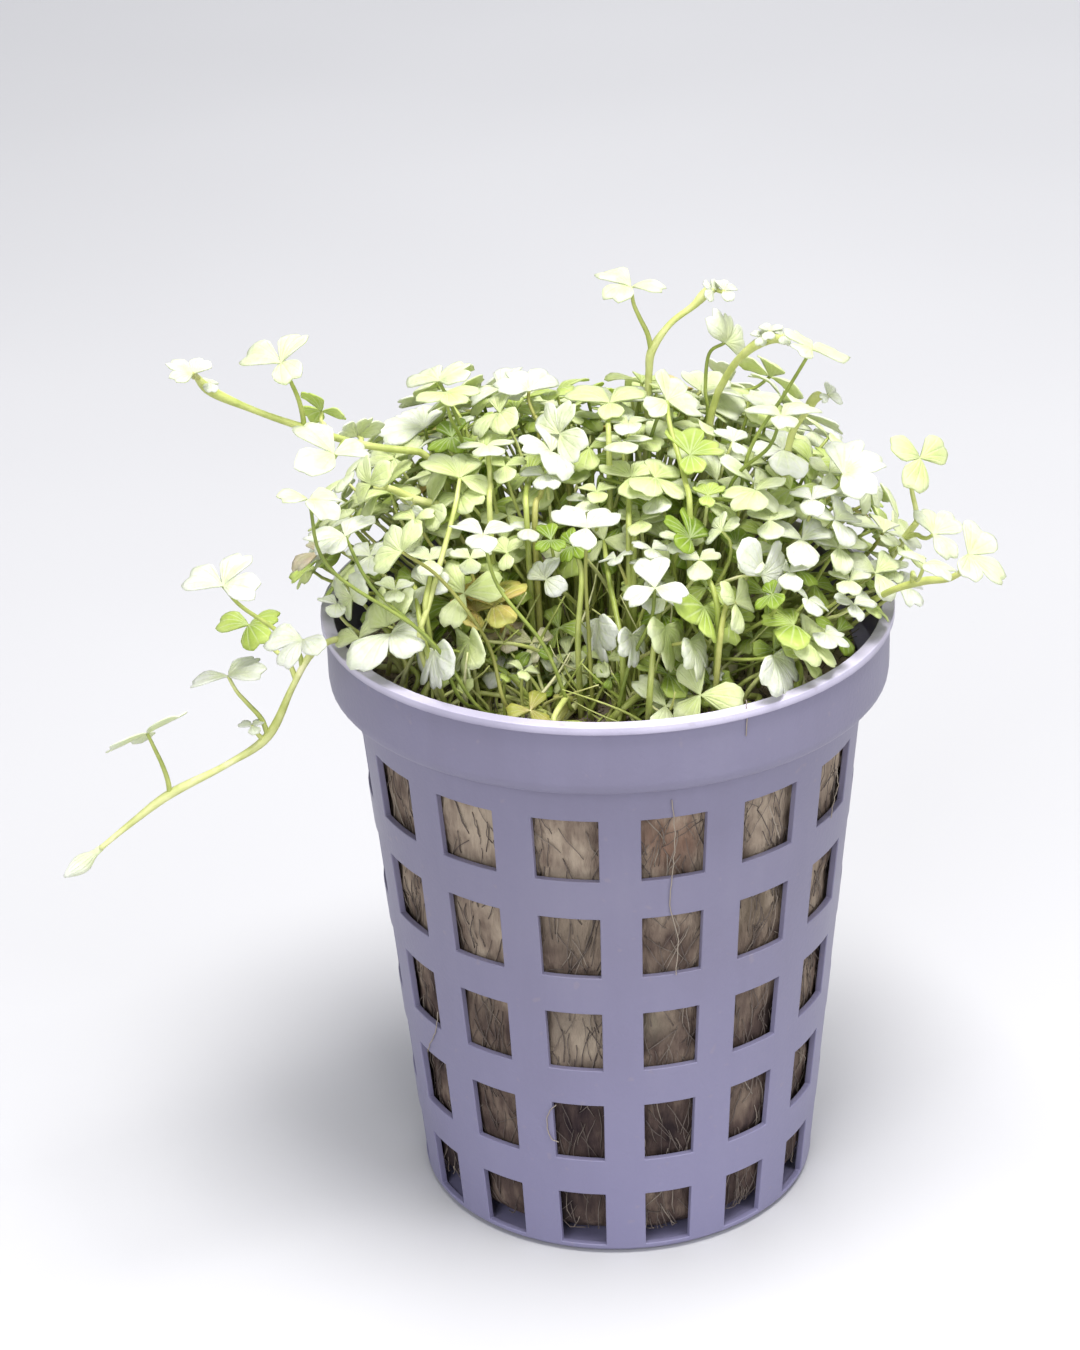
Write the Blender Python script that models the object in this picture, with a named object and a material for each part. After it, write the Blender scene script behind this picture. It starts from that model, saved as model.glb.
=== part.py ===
"""A pennywort in a net pot: a creeping water plant with three-lobed leaves, rooted in rockwool.

Units are metres with +Z up. The origin is the middle of the pot's underside. The viewer of the
photograph looks along +Y, so the front of the plant faces -Y and +X is on the right.
"""

import math
import random
from collections import namedtuple

import bmesh
import bpy
import numpy as np
from mathutils import Vector, noise
from mathutils.bvhtree import BVHTree

MM = 0.001
GAP = 0.3 * MM

# Net pot
POT_HEIGHT = 56.2 * MM
BASE_RADIUS = 18.0 * MM
WALL_SLOPE = 0.091
WALL_THICKNESS = 1.0 * MM
FLOOR_THICKNESS = 0.7 * MM
FOOT_ROUNDING = 0.5 * MM
COLLAR_BOTTOM = 49.4 * MM
COLLAR_RADIUS = 24.6 * MM
COLLAR_THICKNESS = 1.0 * MM
LIP_RADIUS = 25.0 * MM
LIP_INNER_RADIUS = 23.85 * MM
LIP_HEIGHT = 0.75 * MM

# Square holes in the pot's wall
HOLE_COLUMNS = 15
HOLE_ROWS = 5
HOLE_HEIGHT = 6.05 * MM
TOP_HOLE_TOP = 46.05 * MM
ROW_PITCH = 9.86 * MM
RIB_WIDTH = 3.56 * MM
FIRST_COLUMN_ANGLE = math.radians(1.7 + 12.0)
LOWEST_HOLE_EDGE = 0.9 * MM

# Rockwool
ROCKWOOL_TOP = 52.4 * MM
ROCKWOOL_BUMP = 0.7 * MM

# Crown of leaves: a dome over the pot, with a hollow at the front where the stems show
CROWN_CENTRE = (0.0, 3.0 * MM)
CROWN_RADII = (27.0 * MM, 24.5 * MM)
CROWN_EDGE_HEIGHT = 55.0 * MM
CROWN_RISE = 20.5 * MM
HOLLOW_CENTRE = (-4.0 * MM, -17.0 * MM)
HOLLOW_RADIUS = 9.0 * MM
HOLLOW_DEPTH = 8.0 * MM
THICKET_RADIUS = 22.6 * MM
THICKET_SHOULDER = 58.0 * MM
THICKET_BELOW_CROWN = 4.0 * MM
THICKET_LUMP = 1.5 * MM

# Leaf
LOBE_LENGTH = 3.75 * MM
BLADE_THICKNESS = 0.35 * MM
STALK_RADIUS = 0.34 * MM
STALK_SIDES = 3
STALK_STOPS = (0.3, 0.65, 1.0)
RUNNER_SIDES = 4
CLEARANCE = 0.85 * MM

# Camera of the photograph, as measured on the pot's rim and holes
PHOTO_CENTRE = (540.0, 675.0)
PHOTO_FOCAL_LENGTH = 3438.5
CAMERA_PLACE = Vector((0.0, -272.9 * MM, 181.0 * MM))
CAMERA_PITCH = math.radians(25.81)
CAMERA_YAW = math.radians(-1.27)
CAMERA_ROLL = math.radians(-1.73)

Runner = namedtuple("Runner", "name path")
Leaf = namedtuple("Leaf", "name hub tips depth foot size")
Blade = namedtuple("Blade", "name hub normal lobes stalk")


def leaf(name, hub, tips, depth=None, foot=None, size=1.0):
    """hub, tips and foot are pixels of the photograph. depth is millimetres behind the pot's axis,
    or None for a leaf that lies on the crown. foot is where the stalk meets its runner."""
    return Leaf(name, hub, tips, depth, foot, size)


# Each runner's path: pixel across, pixel down, millimetres behind the pot's axis, stem radius in millimetres
RUNNERS = [
    Runner("runner_low_left", [
        (351, 637, -8.6, 0.34), (328, 642, -11.3, 0.34), (309, 657, -12.2, 0.38),
        (292, 688, -12.6, 0.34), (268, 736, -13.0, 0.49), (226, 765, -13.8, 0.34), (170, 794, -15.0, 0.49),
        (130, 824, -15.8, 0.34), (101, 848, -16.4, 0.3), (84, 862, -16.8, 0.65), (64, 877, -17.2, 0.27)]),
    Runner("runner_high_left", [
        (420, 452, -3.0, 0.38), (360, 444, -4.0, 0.38), (296, 425, -5.0, 0.38), (251, 409, -6.0, 0.34),
        (211, 391, -7.0, 0.53), (194, 374, -7.4, 0.27)]),
    Runner("runner_middle_left", [
        (452, 505, -6.0, 0.3), (418, 500, -7.0, 0.42), (392, 489, -7.5, 0.34), (374, 487, -8.0, 0.23)]),
    Runner("stem_tall_fork", [
        (648, 396, 3.0, 0.38), (649, 372, 3.0, 0.38), (652, 350, 3.0, 0.46), (670, 324, 3.6, 0.34),
        (693, 306, 4.2, 0.38), (708, 291, 4.6, 0.65), (717, 289, 4.8, 0.23)]),
    Runner("runner_top_right", [
        (718, 392, 1.0, 0.38), (731, 369, 0.0, 0.38), (744, 354, -1.0, 0.42), (759, 343, -1.6, 0.57),
        (776, 338, -2.2, 1), (789, 341, -2.6, 0.3)]),
    Runner("stem_right_fork", [
        (786, 462, -3.0, 0.34), (792, 434, -3.0, 0.38), (804, 415, -3.2, 0.3), (815, 398, -3.6, 0.65),
        (824, 396, -3.8, 0.23)]),
    Runner("runner_right_high", [
        (872, 592, 1.0, 0.34), (886, 566, -1.0, 0.38), (900, 544, -2.0, 0.38), (917, 522, -3.0, 0.34)]),
    Runner("runner_right_low", [
        (866, 604, -8.0, 0.34), (893, 590, -10.5, 0.34), (924, 581, -11.6, 0.42), (947, 579, -12.3, 0.34),
        (962, 572, -12.8, 0.3)]),
]

# Leaves that stand clear of the crown
OUTER_LEAVES = [
    leaf("leaf_far_left", (193, 373), ((168, 361), (171, 380), (206, 359)), -7.8, (197, 378), 0.75),
    leaf("leaf_high_left", (281, 363), ((243, 356), (304, 334), (295, 383)), -6.5, (301, 423)),
    leaf("leaf_high_left_green", (322, 411), ((305, 392), (344, 417), (304, 418)), -4.0, (330, 432), 0.75),
    leaf("leaf_left_large", (334, 454), ((299, 424), (302, 473), (369, 450)), -9.5, (352, 442), 1.1),
    leaf("leaf_left_small", (358, 436), ((339, 430), (369, 417), (384, 428)), -6.5, (362, 445), 0.7),
    leaf("leaf_left_cupped", (371, 484), ((362, 458), (392, 468), (359, 496)), -10.0, (386, 489), 0.75),
    leaf("leaf_left_white", (345, 536), ((304, 536), (368, 515), (322, 556)), -12.0, None, 1.1),
    leaf("leaf_left_pair", (309, 500), ((278, 500), (342, 499), (330, 521)), -9.0, None),
    leaf("leaf_low_left", (223, 586), ((186, 577), (247, 553), (260, 592)), -14.0, (300, 668), 1.1),
    leaf("leaf_low_left_green", (249, 625), ((217, 622), (277, 617), (262, 648)), -12.4, (297, 679), 0.95),
    leaf("leaf_rim_left", (303, 640), ((265, 640), (281, 668), (322, 650)), -14.2, (312, 654), 0.9),
    leaf("leaf_runner_first", (228, 676), ((190, 685), (258, 657), (266, 674)), -12.5, (266, 738), 0.95),
    leaf("leaf_runner_second", (147, 733), ((105, 750), (182, 711), (142, 739)), -14.8, (169, 795)),
    leaf("leaf_tallest", (631, 287), ((599, 273), (609, 303), (662, 290)), 2.4, (651, 352)),
    leaf("leaf_top_folded", (725, 343), ((709, 311), (728, 316), (745, 338)), 3.6, None, 0.9),
    leaf("leaf_top_right", (812, 349), ((789, 328), (846, 353), (799, 350)), -3.2, None, 0.95),
    leaf("leaf_right_tall", (781, 417), ((748, 408), (816, 408), (787, 428)), -6.0, None),
    leaf("leaf_right_white", (843, 474), ((846, 440), (886, 462), (870, 500)), -6.0, None, 1.1),
    leaf("leaf_right_high", (920, 458), ((891, 443), (946, 446), (912, 492)), -4.4, (917, 524)),
    leaf("leaf_right_middle", (933, 534), ((918, 508), (958, 518), (953, 560)), -5.0, (905, 538), 0.9),
    leaf("leaf_far_right", (969, 555), ((984, 528), (1006, 583), (969, 581)), -13.2, (961, 573), 1.1),
    leaf("leaf_right_small", (897, 546), ((879, 536), (891, 534), (903, 552)), -3.4, (893, 556), 0.55),
    leaf("leaf_right_edge", (925, 564), ((902, 551), (944, 578), (955, 569)), -10.6, (911, 583), 0.75),
]

# Leaves on the crown, from its top down to the rim
CROWN_LEAVES = [
    leaf("leaf_crown_01", (439, 381), ((412, 372), (466, 361), (460, 377))),
    leaf("leaf_crown_02", (446, 392), ((478, 390), (460, 405), (424, 400))),
    leaf("leaf_crown_03", (425, 428), ((398, 414), (376, 441), (432, 405))),
    leaf("leaf_crown_04", (529, 391), ((511, 370), (552, 374), (494, 388))),
    leaf("leaf_crown_05", (560, 434), ((541, 410), (572, 404), (586, 455))),
    leaf("leaf_crown_06", (610, 403), ((569, 390), (643, 389), (612, 418))),
    leaf("leaf_crown_07", (667, 401), ((672, 372), (648, 410), (703, 409))),
    leaf("leaf_crown_08", (701, 391), ((727, 376), (744, 415), (690, 372))),
    leaf("leaf_crown_09", (460, 478), ((424, 458), (470, 455), (486, 489))),
    leaf("leaf_crown_10", (631, 477), ((603, 462), (655, 462), (640, 500))),
    leaf("leaf_crown_11", (690, 455), ((680, 425), (724, 447), (694, 470))),
    leaf("leaf_crown_12", (587, 528), ((556, 507), (580, 548), (614, 510))),
    leaf("leaf_crown_13", (483, 535), ((452, 524), (514, 526), (480, 552))),
    leaf("leaf_crown_14", (756, 490), ((724, 494), (745, 512), (780, 478))),
    leaf("leaf_crown_15", (402, 552), ((388, 530), (413, 530), (372, 566))),
    leaf("leaf_crown_16", (655, 588), ((624, 604), (650, 556), (684, 598))),
]

# Leaves on the side that the photograph doesn't show. Seen from the camera none stands over the crown,
# so BACK_TOP limits how high a hub is along the picture's upward direction
BACK_LEAF_COUNT = 6
BACK_ARC = (math.radians(20), math.radians(160))
BACK_TOP = 70.2 * MM

# Depths that a leaf may shift by along its line of sight to stand clear of the others
SHIFTS = sorted([0.6 * MM * step for step in range(-16, 17)], key=abs)


def evenly(start, end, count):
    """Numbers spread evenly from start to end."""
    return [start + (end - start) * step / (count - 1) for step in range(count)]


def sight(pixel):
    """Direction of the line of sight through a pixel of the photograph."""
    pitch = math.cos(CAMERA_PITCH)
    forward = Vector((math.sin(CAMERA_YAW) * pitch, math.cos(CAMERA_YAW) * pitch, -math.sin(CAMERA_PITCH)))
    level = Vector((math.cos(CAMERA_YAW), -math.sin(CAMERA_YAW), 0))
    upward = level.cross(forward)
    right = math.cos(CAMERA_ROLL) * level + math.sin(CAMERA_ROLL) * upward
    up = math.cos(CAMERA_ROLL) * upward - math.sin(CAMERA_ROLL) * level
    across = (pixel[0] - PHOTO_CENTRE[0]) / PHOTO_FOCAL_LENGTH
    down = (pixel[1] - PHOTO_CENTRE[1]) / PHOTO_FOCAL_LENGTH
    return (forward + across * right - down * up).normalized()


def at_depth(pixel, depth):
    """The point seen at a pixel that lies depth behind the pot's axis."""
    direction = sight(pixel)
    return CAMERA_PLACE + direction * ((depth - CAMERA_PLACE.y) / direction.y)


def crown_height(x, y):
    """Height of the crown's surface over a point of the ground."""
    across = (x - CROWN_CENTRE[0]) / CROWN_RADII[0]
    along = (y - CROWN_CENTRE[1]) / CROWN_RADII[1]
    rise = CROWN_RISE * math.sqrt(max(0.0, 1 - across * across - along * along))
    away = math.hypot(x - HOLLOW_CENTRE[0], y - HOLLOW_CENTRE[1]) / HOLLOW_RADIUS
    return CROWN_EDGE_HEIGHT + rise - HOLLOW_DEPTH * math.exp(-away * away)


def on_crown(pixel):
    """The first point of a line of sight that lies on the crown's surface."""
    depth = CROWN_CENTRE[1] - CROWN_RADII[1]
    while depth < CROWN_CENTRE[1] + CROWN_RADII[1]:
        place = at_depth(pixel, depth)
        if place.z < crown_height(place.x, place.y):
            return place
        depth += 0.25 * MM
    return at_depth(pixel, 0.0)


def thicket_height(x, y):
    """Height of the top of the stems and small leaves under the crown."""
    lump = noise.noise(Vector((x, y, 0)) / (2.3 * MM)) + noise.noise(Vector((y, x, 0)) / (6 * MM))
    height = crown_height(x, y) - THICKET_BELOW_CROWN + THICKET_LUMP * lump
    return max(height, ROCKWOOL_TOP + ROCKWOOL_BUMP + 1.2 * MM)


def in_plane(pixel, hub, normal):
    """From hub to where a line of sight meets the plane through hub, or None if it is seen edge-on."""
    direction = sight(pixel)
    facing = direction.dot(normal)
    if abs(facing) < 0.08:
        return None
    distance = (hub - CAMERA_PLACE).dot(normal) / facing
    return CAMERA_PLACE + direction * distance - hub


def leaning_directions(count=700):
    """Directions spread evenly over the upper half of a sphere and a little below its middle."""
    golden = math.pi * (3 - math.sqrt(5))
    for step in range(count):
        height = 1 - 1.25 * (step + 0.5) / count
        around = math.sqrt(1 - height * height)
        yield Vector((around * math.cos(step * golden), around * math.sin(step * golden), height))


LEANS = list(leaning_directions())


def blade_pose(hub, tips, size, foot):
    """The blade's normal and its three lobes, as vectors from the hub, that show the given tips.

    Of all planes through the hub it takes the one in which the lobes come out equally long and evenly
    spread. It prefers one that faces up and outwards, as leaves do, and has the stalk's foot under it.
    """
    outward = Vector((hub.x, hub.y - 6 * MM, 0)) / (40 * MM)
    preferred = (Vector((0, 0, 1)) + outward).normalized()
    towards_foot = (foot - hub).normalized()
    best = None
    for normal in LEANS:
        lobes = [in_plane(tip, hub, normal) for tip in tips]
        if None in lobes:
            continue
        cost = 0.35 * (1 - normal.dot(preferred)) + 3 * max(0.0, 0.35 + towards_foot.dot(normal)) ** 2
        for lobe in lobes:
            cost += (lobe.length / (LOBE_LENGTH * size) - 1) ** 2
        for first, second in ((0, 1), (1, 2), (2, 0)):
            spread = math.degrees(lobes[first].angle(lobes[second]))
            cost += 1.5 * (min(0.0, spread - 75) / 60) ** 2 + 0.05 * ((spread - 120) / 60) ** 2
        if best is None or cost < best[0]:
            best = (cost, normal, lobes)
    return best[1], in_order(best[2], best[1], size)


def in_order(lobes, normal, size):
    """The lobes anticlockwise about the normal, with lengths kept near a real lobe's."""
    side = lobes[0].normalized()
    other = normal.cross(side)
    kept = []
    for lobe in lobes:
        length = min(max(lobe.length, 0.8 * LOBE_LENGTH * size), 1.2 * LOBE_LENGTH * size)
        kept.append((math.atan2(lobe.dot(other), lobe.dot(side)) % math.tau, lobe.normalized() * length))
    return [lobe for _, lobe in sorted(kept, key=lambda pair: pair[0])]


def smooth_path(points, steps):
    """Points of a smooth curve through the given ones, steps to each span."""
    ends = [2 * points[0] - points[1]] + points + [2 * points[-1] - points[-2]]
    path = []
    for before, start, end, after in zip(ends, ends[1:], ends[2:], ends[3:]):
        for step in range(steps):
            t = step / steps
            path.append(0.5 * (2 * start + (end - before) * t
                               + (2 * before - 5 * start + 4 * end - after) * t ** 2
                               + (3 * start - before - 3 * end + after) * t ** 3))
    return path + [points[-1]]


def runner_line(runner, steps):
    """A runner's middle line and its radius at each of those points."""
    places = [at_depth(stop[:2], stop[2] * MM) for stop in runner.path]
    radii = [Vector((stop[3] * MM, 0, 0)) for stop in runner.path]
    return smooth_path(places, steps), [radius.x for radius in smooth_path(radii, steps)]


def stalk_line(hub, normal, foot, steps=18):
    """A leaf stalk: down from the blade, then bending towards its foot."""
    reach = (hub - foot).length
    below = hub - normal * 0.4 * reach
    above = foot + Vector((0, 0, 0.35 * reach))
    line = []
    for step in range(steps + 1):
        t = step / steps
        line.append((1 - t) ** 3 * hub + 3 * t * (1 - t) ** 2 * below
                    + 3 * t * t * (1 - t) * above + t ** 3 * foot)
    return line


def lobe_frame(lobes, normal, index):
    """A lobe's length, its direction, the direction across it, and the share of its width it has room for."""
    lobe = lobes[index]
    ahead = lobe.normalized()
    gaps = [lobe.angle(lobes[index - 1]), lobe.angle(lobes[(index + 1) % len(lobes)])]
    return lobe.length, ahead, normal.cross(ahead), min(1.0, 0.46 * min(gaps) / math.radians(30))


# A lobe's outline, as shares of its length along and across it: flank, corner, notch, corner, flank
LOBE_OUTLINE = ((0.60, -0.36), (0.95, -0.27), (0.87, 0.0), (0.95, 0.27), (0.60, 0.36))
SINUS_DEPTH = 0.17


def blade_outline(blade):
    """The blade's edge, anticlockwise: five points for each lobe, and one in the notch after it."""
    edge = []
    for index, lobe in enumerate(blade.lobes):
        length, ahead, across, width = lobe_frame(blade.lobes, blade.normal, index)
        edge += [blade.hub + length * (along * ahead + side * width * across) for along, side in LOBE_OUTLINE]
        following = blade.lobes[(index + 1) % len(blade.lobes)]
        turn = math.atan2(following.dot(across), following.dot(ahead)) % math.tau
        between = math.cos(turn / 2) * ahead + math.sin(turn / 2) * across
        edge.append(blade.hub + SINUS_DEPTH * LOBE_LENGTH * between)
    return edge


def blade_cloud(blade):
    """Points spread over the blade and along its stalk, each with the radius it needs to itself."""
    cloud = []
    for index in range(len(blade.lobes)):
        length, ahead, across, width = lobe_frame(blade.lobes, blade.normal, index)
        for along in evenly(0.16, 0.98, 8):
            half = width * min(0.6 * along, 0.38)
            for side in evenly(-half, half, 5):
                cloud.append((*(blade.hub + length * (along * ahead + side * across)), 0.3 * MM))
    for point in blade.stalk:
        cloud.append((*point, STALK_RADIUS))
    return np.array(cloud)


def runner_cloud(runner):
    """Points along a runner, each with the runner's radius there."""
    line, radii = runner_line(runner, 8)
    return np.array([(*point, radius) for point, radius in zip(line, radii)])


def apart(first, second):
    """Whether two clouds keep the gap between all of their points."""
    if np.linalg.norm(first[0, :3] - second[0, :3]) > 60 * MM:
        return True
    distance = np.linalg.norm(first[:, None, :3] - second[None, :, :3], axis=2)
    return bool((distance > first[:, None, 3] + second[None, :, 3] + GAP).all())


def clear_of_solids(cloud, trees):
    """Whether a cloud keeps the gap to the pot and the thicket."""
    for x, y, z, radius in cloud:
        if math.hypot(x, y) < THICKET_RADIUS and z < thicket_height(x, y) - 1.5 * MM:
            return False
        for tree in trees:
            if tree.find_nearest(Vector((x, y, z)), radius + 1.2 * GAP)[0] is not None:
                return False
    return True


def nearest_runner_point(pixel):
    """The point of the runners' middle lines that shows nearest to a pixel, with the runner's cloud."""
    best = None
    for runner in RUNNERS:
        for before, after in zip(runner.path, runner.path[1:]):
            for share in evenly(0, 1, 9):
                stop = [(1 - share) * a + share * b for a, b in zip(before, after)]
                away = math.hypot(stop[0] - pixel[0], stop[1] - pixel[1])
                if best is None or away < best[0]:
                    best = (away, at_depth(stop[:2], stop[2] * MM), runner)
    return best[1], runner_cloud(best[2])


def trimmed(stalk, carrier):
    """The stalk without the end that would run into the runner that carries it."""
    kept = list(stalk)
    while len(kept) > 3:
        away = np.linalg.norm(carrier[:, :3] - np.array(kept[-1]), axis=1) - carrier[:, 3]
        if away.min() > STALK_RADIUS + GAP:
            break
        kept.pop()
    return kept


def stalk_stops(hub, normal, stalk):
    """The points that a stalk is built through, from the underside of its blade down."""
    under = hub - normal * BLADE_THICKNESS
    stops = [stalk[round(share * (len(stalk) - 1))] for share in STALK_STOPS]
    return [under] + [stop for stop in stops if (stop - under).length > 0.5 * MM]


def stays_under(stops, normal):
    """Whether there is a stalk that keeps under its blade."""
    return len(stops) > 1 and all((stops[0] - stop).dot(normal) > 1.3 * STALK_RADIUS for stop in stops[1:])


def feet_on_thicket(hub, tree):
    """Points just over the thicket where a stalk may end, nearest first."""
    for inward in (0.85, 0.7, 0.95, 0.55, 0.4):
        for turn in (0, 0.15, -0.15, 0.35, -0.35):
            x = inward * (hub.x * math.cos(turn) - hub.y * math.sin(turn))
            y = inward * (hub.x * math.sin(turn) + hub.y * math.cos(turn))
            scale = min(1.0, (THICKET_RADIUS - 1.5 * MM) / max(math.hypot(x, y), MM))
            hit = tree.ray_cast(Vector((x * scale, y * scale, 0.2)), Vector((0, 0, -1)))[0]
            if hit is not None and hit.z < hub.z - 0.5 * MM:
                yield hit + Vector((0, 0, STALK_RADIUS + 1.4 * GAP))


def usual_foot(hub):
    """Roughly where the stalk of a leaf over the pot comes from: lower, and nearer to the pot's axis."""
    return Vector((0.8 * hub.x, 0.8 * hub.y, hub.z - 4 * MM))


def place_leaf(spec, clouds, trees):
    """The leaf at the first shift along its line of sight that keeps it clear of all before it."""
    start = on_crown(spec.hub) if spec.depth is None else at_depth(spec.hub, spec.depth * MM)
    for shift in SHIFTS:
        hub = at_depth(spec.hub, start.y + shift)
        foot = nearest_runner_point(spec.foot)[0] if spec.foot else usual_foot(hub)
        normal, lobes = blade_pose(hub, spec.tips, spec.size, foot)
        found = first_clear(spec.name, hub, normal, lobes, spec.foot, clouds, trees)
        if found:
            return found
    print("no clear place for", spec.name)
    return None


def first_clear(name, hub, normal, lobes, foot, clouds, trees):
    """The blade with the first foot for its stalk that keeps all of it clear, or None."""
    if foot is None:
        stalks = (stalk_line(hub, normal, place) for place in feet_on_thicket(hub, trees[-1]))
    else:
        place, carrier = nearest_runner_point(foot)
        stalks = [trimmed(stalk_line(hub, normal, place), carrier)]
    near = None
    for stalk in stalks:
        if not stays_under(stalk_stops(hub, normal, stalk), normal):
            continue
        blade = Blade(name, hub, normal, lobes, stalk)
        cloud = blade_cloud(blade)
        if near is None:
            near = [other for other in clouds if np.linalg.norm(other[:, :3] - hub, axis=1).min() < 16 * MM]
            body = cloud[:len(cloud) - len(stalk)]
            if not all(apart(body, other) for other in near) or not clear_of_solids(body, trees):
                return None
        if all(apart(cloud, other) for other in near) and clear_of_solids(cloud, trees):
            return blade
    return None


def back_leaves(clouds, trees):
    """Leaves for the side of the crown that the photograph doesn't show."""
    chance = random.Random(7)
    made = []
    while len(made) < BACK_LEAF_COUNT:
        around = chance.uniform(*BACK_ARC)
        out = chance.uniform(0.55, 0.98)
        x = CROWN_CENTRE[0] + CROWN_RADII[0] * out * math.cos(around)
        y = CROWN_CENTRE[1] + CROWN_RADII[1] * out * math.sin(around)
        hub = Vector((x, y, crown_height(x, y) + chance.uniform(0, 2) * MM))
        normal = Vector((x, y, chance.uniform(14, 30) * MM)).normalized()
        side = normal.orthogonal().normalized()
        turn = chance.uniform(0, math.tau)
        lobes = []
        for third in range(3):
            angle = turn + third * math.tau / 3
            lobes.append((side * math.cos(angle) + normal.cross(side) * math.sin(angle)) * LOBE_LENGTH)
        if hub.z * math.cos(CAMERA_PITCH) + hub.y * math.sin(CAMERA_PITCH) > BACK_TOP:
            continue
        name = f"leaf_back_{len(made) + 1:02d}"
        blade = first_clear(name, hub, normal, lobes, None, clouds, trees)
        if blade:
            made.append(blade)
            clouds.append(blade_cloud(blade))
    return made


def place_leaves(trees):
    """All leaves of the plant, each clear of the others."""
    clouds = [runner_cloud(runner) for runner in RUNNERS]
    blades = []
    for spec in OUTER_LEAVES + CROWN_LEAVES:
        blade = place_leaf(spec, clouds, trees)
        if blade:
            blades.append(blade)
            clouds.append(blade_cloud(blade))
    return blades + back_leaves(clouds, trees)


def tube(mesh, line, radii, sides, heading=None, side=None):
    """A tube of flat sides along a line, open at both ends. It returns its first and last rings."""
    heading = heading or (line[1] - line[0]).normalized()
    side = side or heading.orthogonal().normalized()
    rings = []
    for index, (point, radius) in enumerate(zip(line, radii)):
        if index:
            heading = (line[min(index + 1, len(line) - 1)] - line[index - 1]).normalized()
        side = (side - heading * side.dot(heading)).normalized()
        across = heading.cross(side)
        ring = []
        for corner in range(sides):
            angle = corner * math.tau / sides
            ring.append(mesh.verts.new(point + radius * (math.cos(angle) * side + math.sin(angle) * across)))
        rings.append(ring)
    for lower, upper in zip(rings, rings[1:]):
        for corner in range(sides):
            after = (corner + 1) % sides
            mesh.faces.new((lower[corner], lower[after], upper[after], upper[corner]))
    return rings[0], rings[-1]


def fill_between(mesh, loops, normal):
    """Flat faces between closed loops of corners that lie in one plane."""
    edges = []
    for loop in loops:
        edges += [mesh.edges.get((corner, after)) for corner, after in zip(loop, loop[1:] + loop[:1])]
    bmesh.ops.triangle_fill(mesh, use_beauty=True, edges=edges, normal=normal)


def leaf_object(blade):
    """One closed body: the three-lobed blade with its stalk growing from the middle of its underside."""
    mesh = bmesh.new()
    edge = blade_outline(blade)
    upper = [mesh.verts.new(point) for point in edge]
    lower = [mesh.verts.new(point - blade.normal * BLADE_THICKNESS) for point in edge]
    middle = mesh.verts.new(blade.hub)
    for index in range(len(edge)):
        after = (index + 1) % len(edge)
        mesh.faces.new((middle, upper[index], upper[after]))
        mesh.faces.new((upper[index], lower[index], lower[after], upper[after]))
    stalk = stalk_stops(blade.hub, blade.normal, blade.stalk)
    side = blade.lobes[0].normalized()
    radii = [STALK_RADIUS] * len(stalk)
    ring, end = tube(mesh, stalk, radii, STALK_SIDES, -blade.normal, side)
    fill_between(mesh, (ring, lower), -blade.normal)
    mesh.faces.new(end)
    return finished(blade.name, mesh, "leaf")


def runner_object(runner):
    """One closed body: a creeping stem, thicker at its joints and buds."""
    mesh = bmesh.new()
    line, radii = runner_line(runner, 2)
    start, end = tube(mesh, line, radii, RUNNER_SIDES)
    mesh.faces.new(start)
    mesh.faces.new(end)
    return finished(runner.name, mesh, "stem")


def wall_radius(z):
    """Outer radius of the pot's wall at a height."""
    return BASE_RADIUS + WALL_SLOPE * z


def column_ring(mesh, radius, z):
    """A ring of the pot, with a corner at both edges and the middle of each column of holes."""
    half_hole = math.pi / HOLE_COLUMNS - RIB_WIDTH / 2 / wall_radius(z)
    ring = []
    for column in range(HOLE_COLUMNS):
        centre = FIRST_COLUMN_ANGLE + column * math.tau / HOLE_COLUMNS
        for angle in (centre - half_hole, centre, centre + half_hole):
            ring.append(mesh.verts.new((radius * math.sin(angle), -radius * math.cos(angle), z)))
    return ring


def hole_levels():
    """Heights of the holes' lower and upper edges, from the lowest row up."""
    levels = []
    for row in reversed(range(HOLE_ROWS)):
        top = TOP_HOLE_TOP - row * ROW_PITCH
        levels += [max(top - HOLE_HEIGHT, LOWEST_HOLE_EDGE), top]
    return levels


def band(mesh, lower, upper, open_at_holes=False):
    """The faces between two rings of the pot, leaving out the two beside each hole's middle if it is open."""
    for index in range(len(lower)):
        if open_at_holes and index % 3 < 2:
            continue
        after = (index + 1) % len(lower)
        mesh.faces.new((lower[index], lower[after], upper[after], upper[index]))


def hole_walls(mesh, outer_low, outer_high, inner_low, inner_high):
    """The four sides of every hole in a row."""
    for first in range(0, len(outer_low), 3):
        for outer, inner in ((outer_low, inner_low), (outer_high, inner_high)):
            for index in (first, first + 1):
                mesh.faces.new((outer[index], outer[index + 1], inner[index + 1], inner[index]))
        for index in (first, first + 2):
            mesh.faces.new((outer_low[index], outer_high[index], inner_high[index], inner_low[index]))


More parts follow.
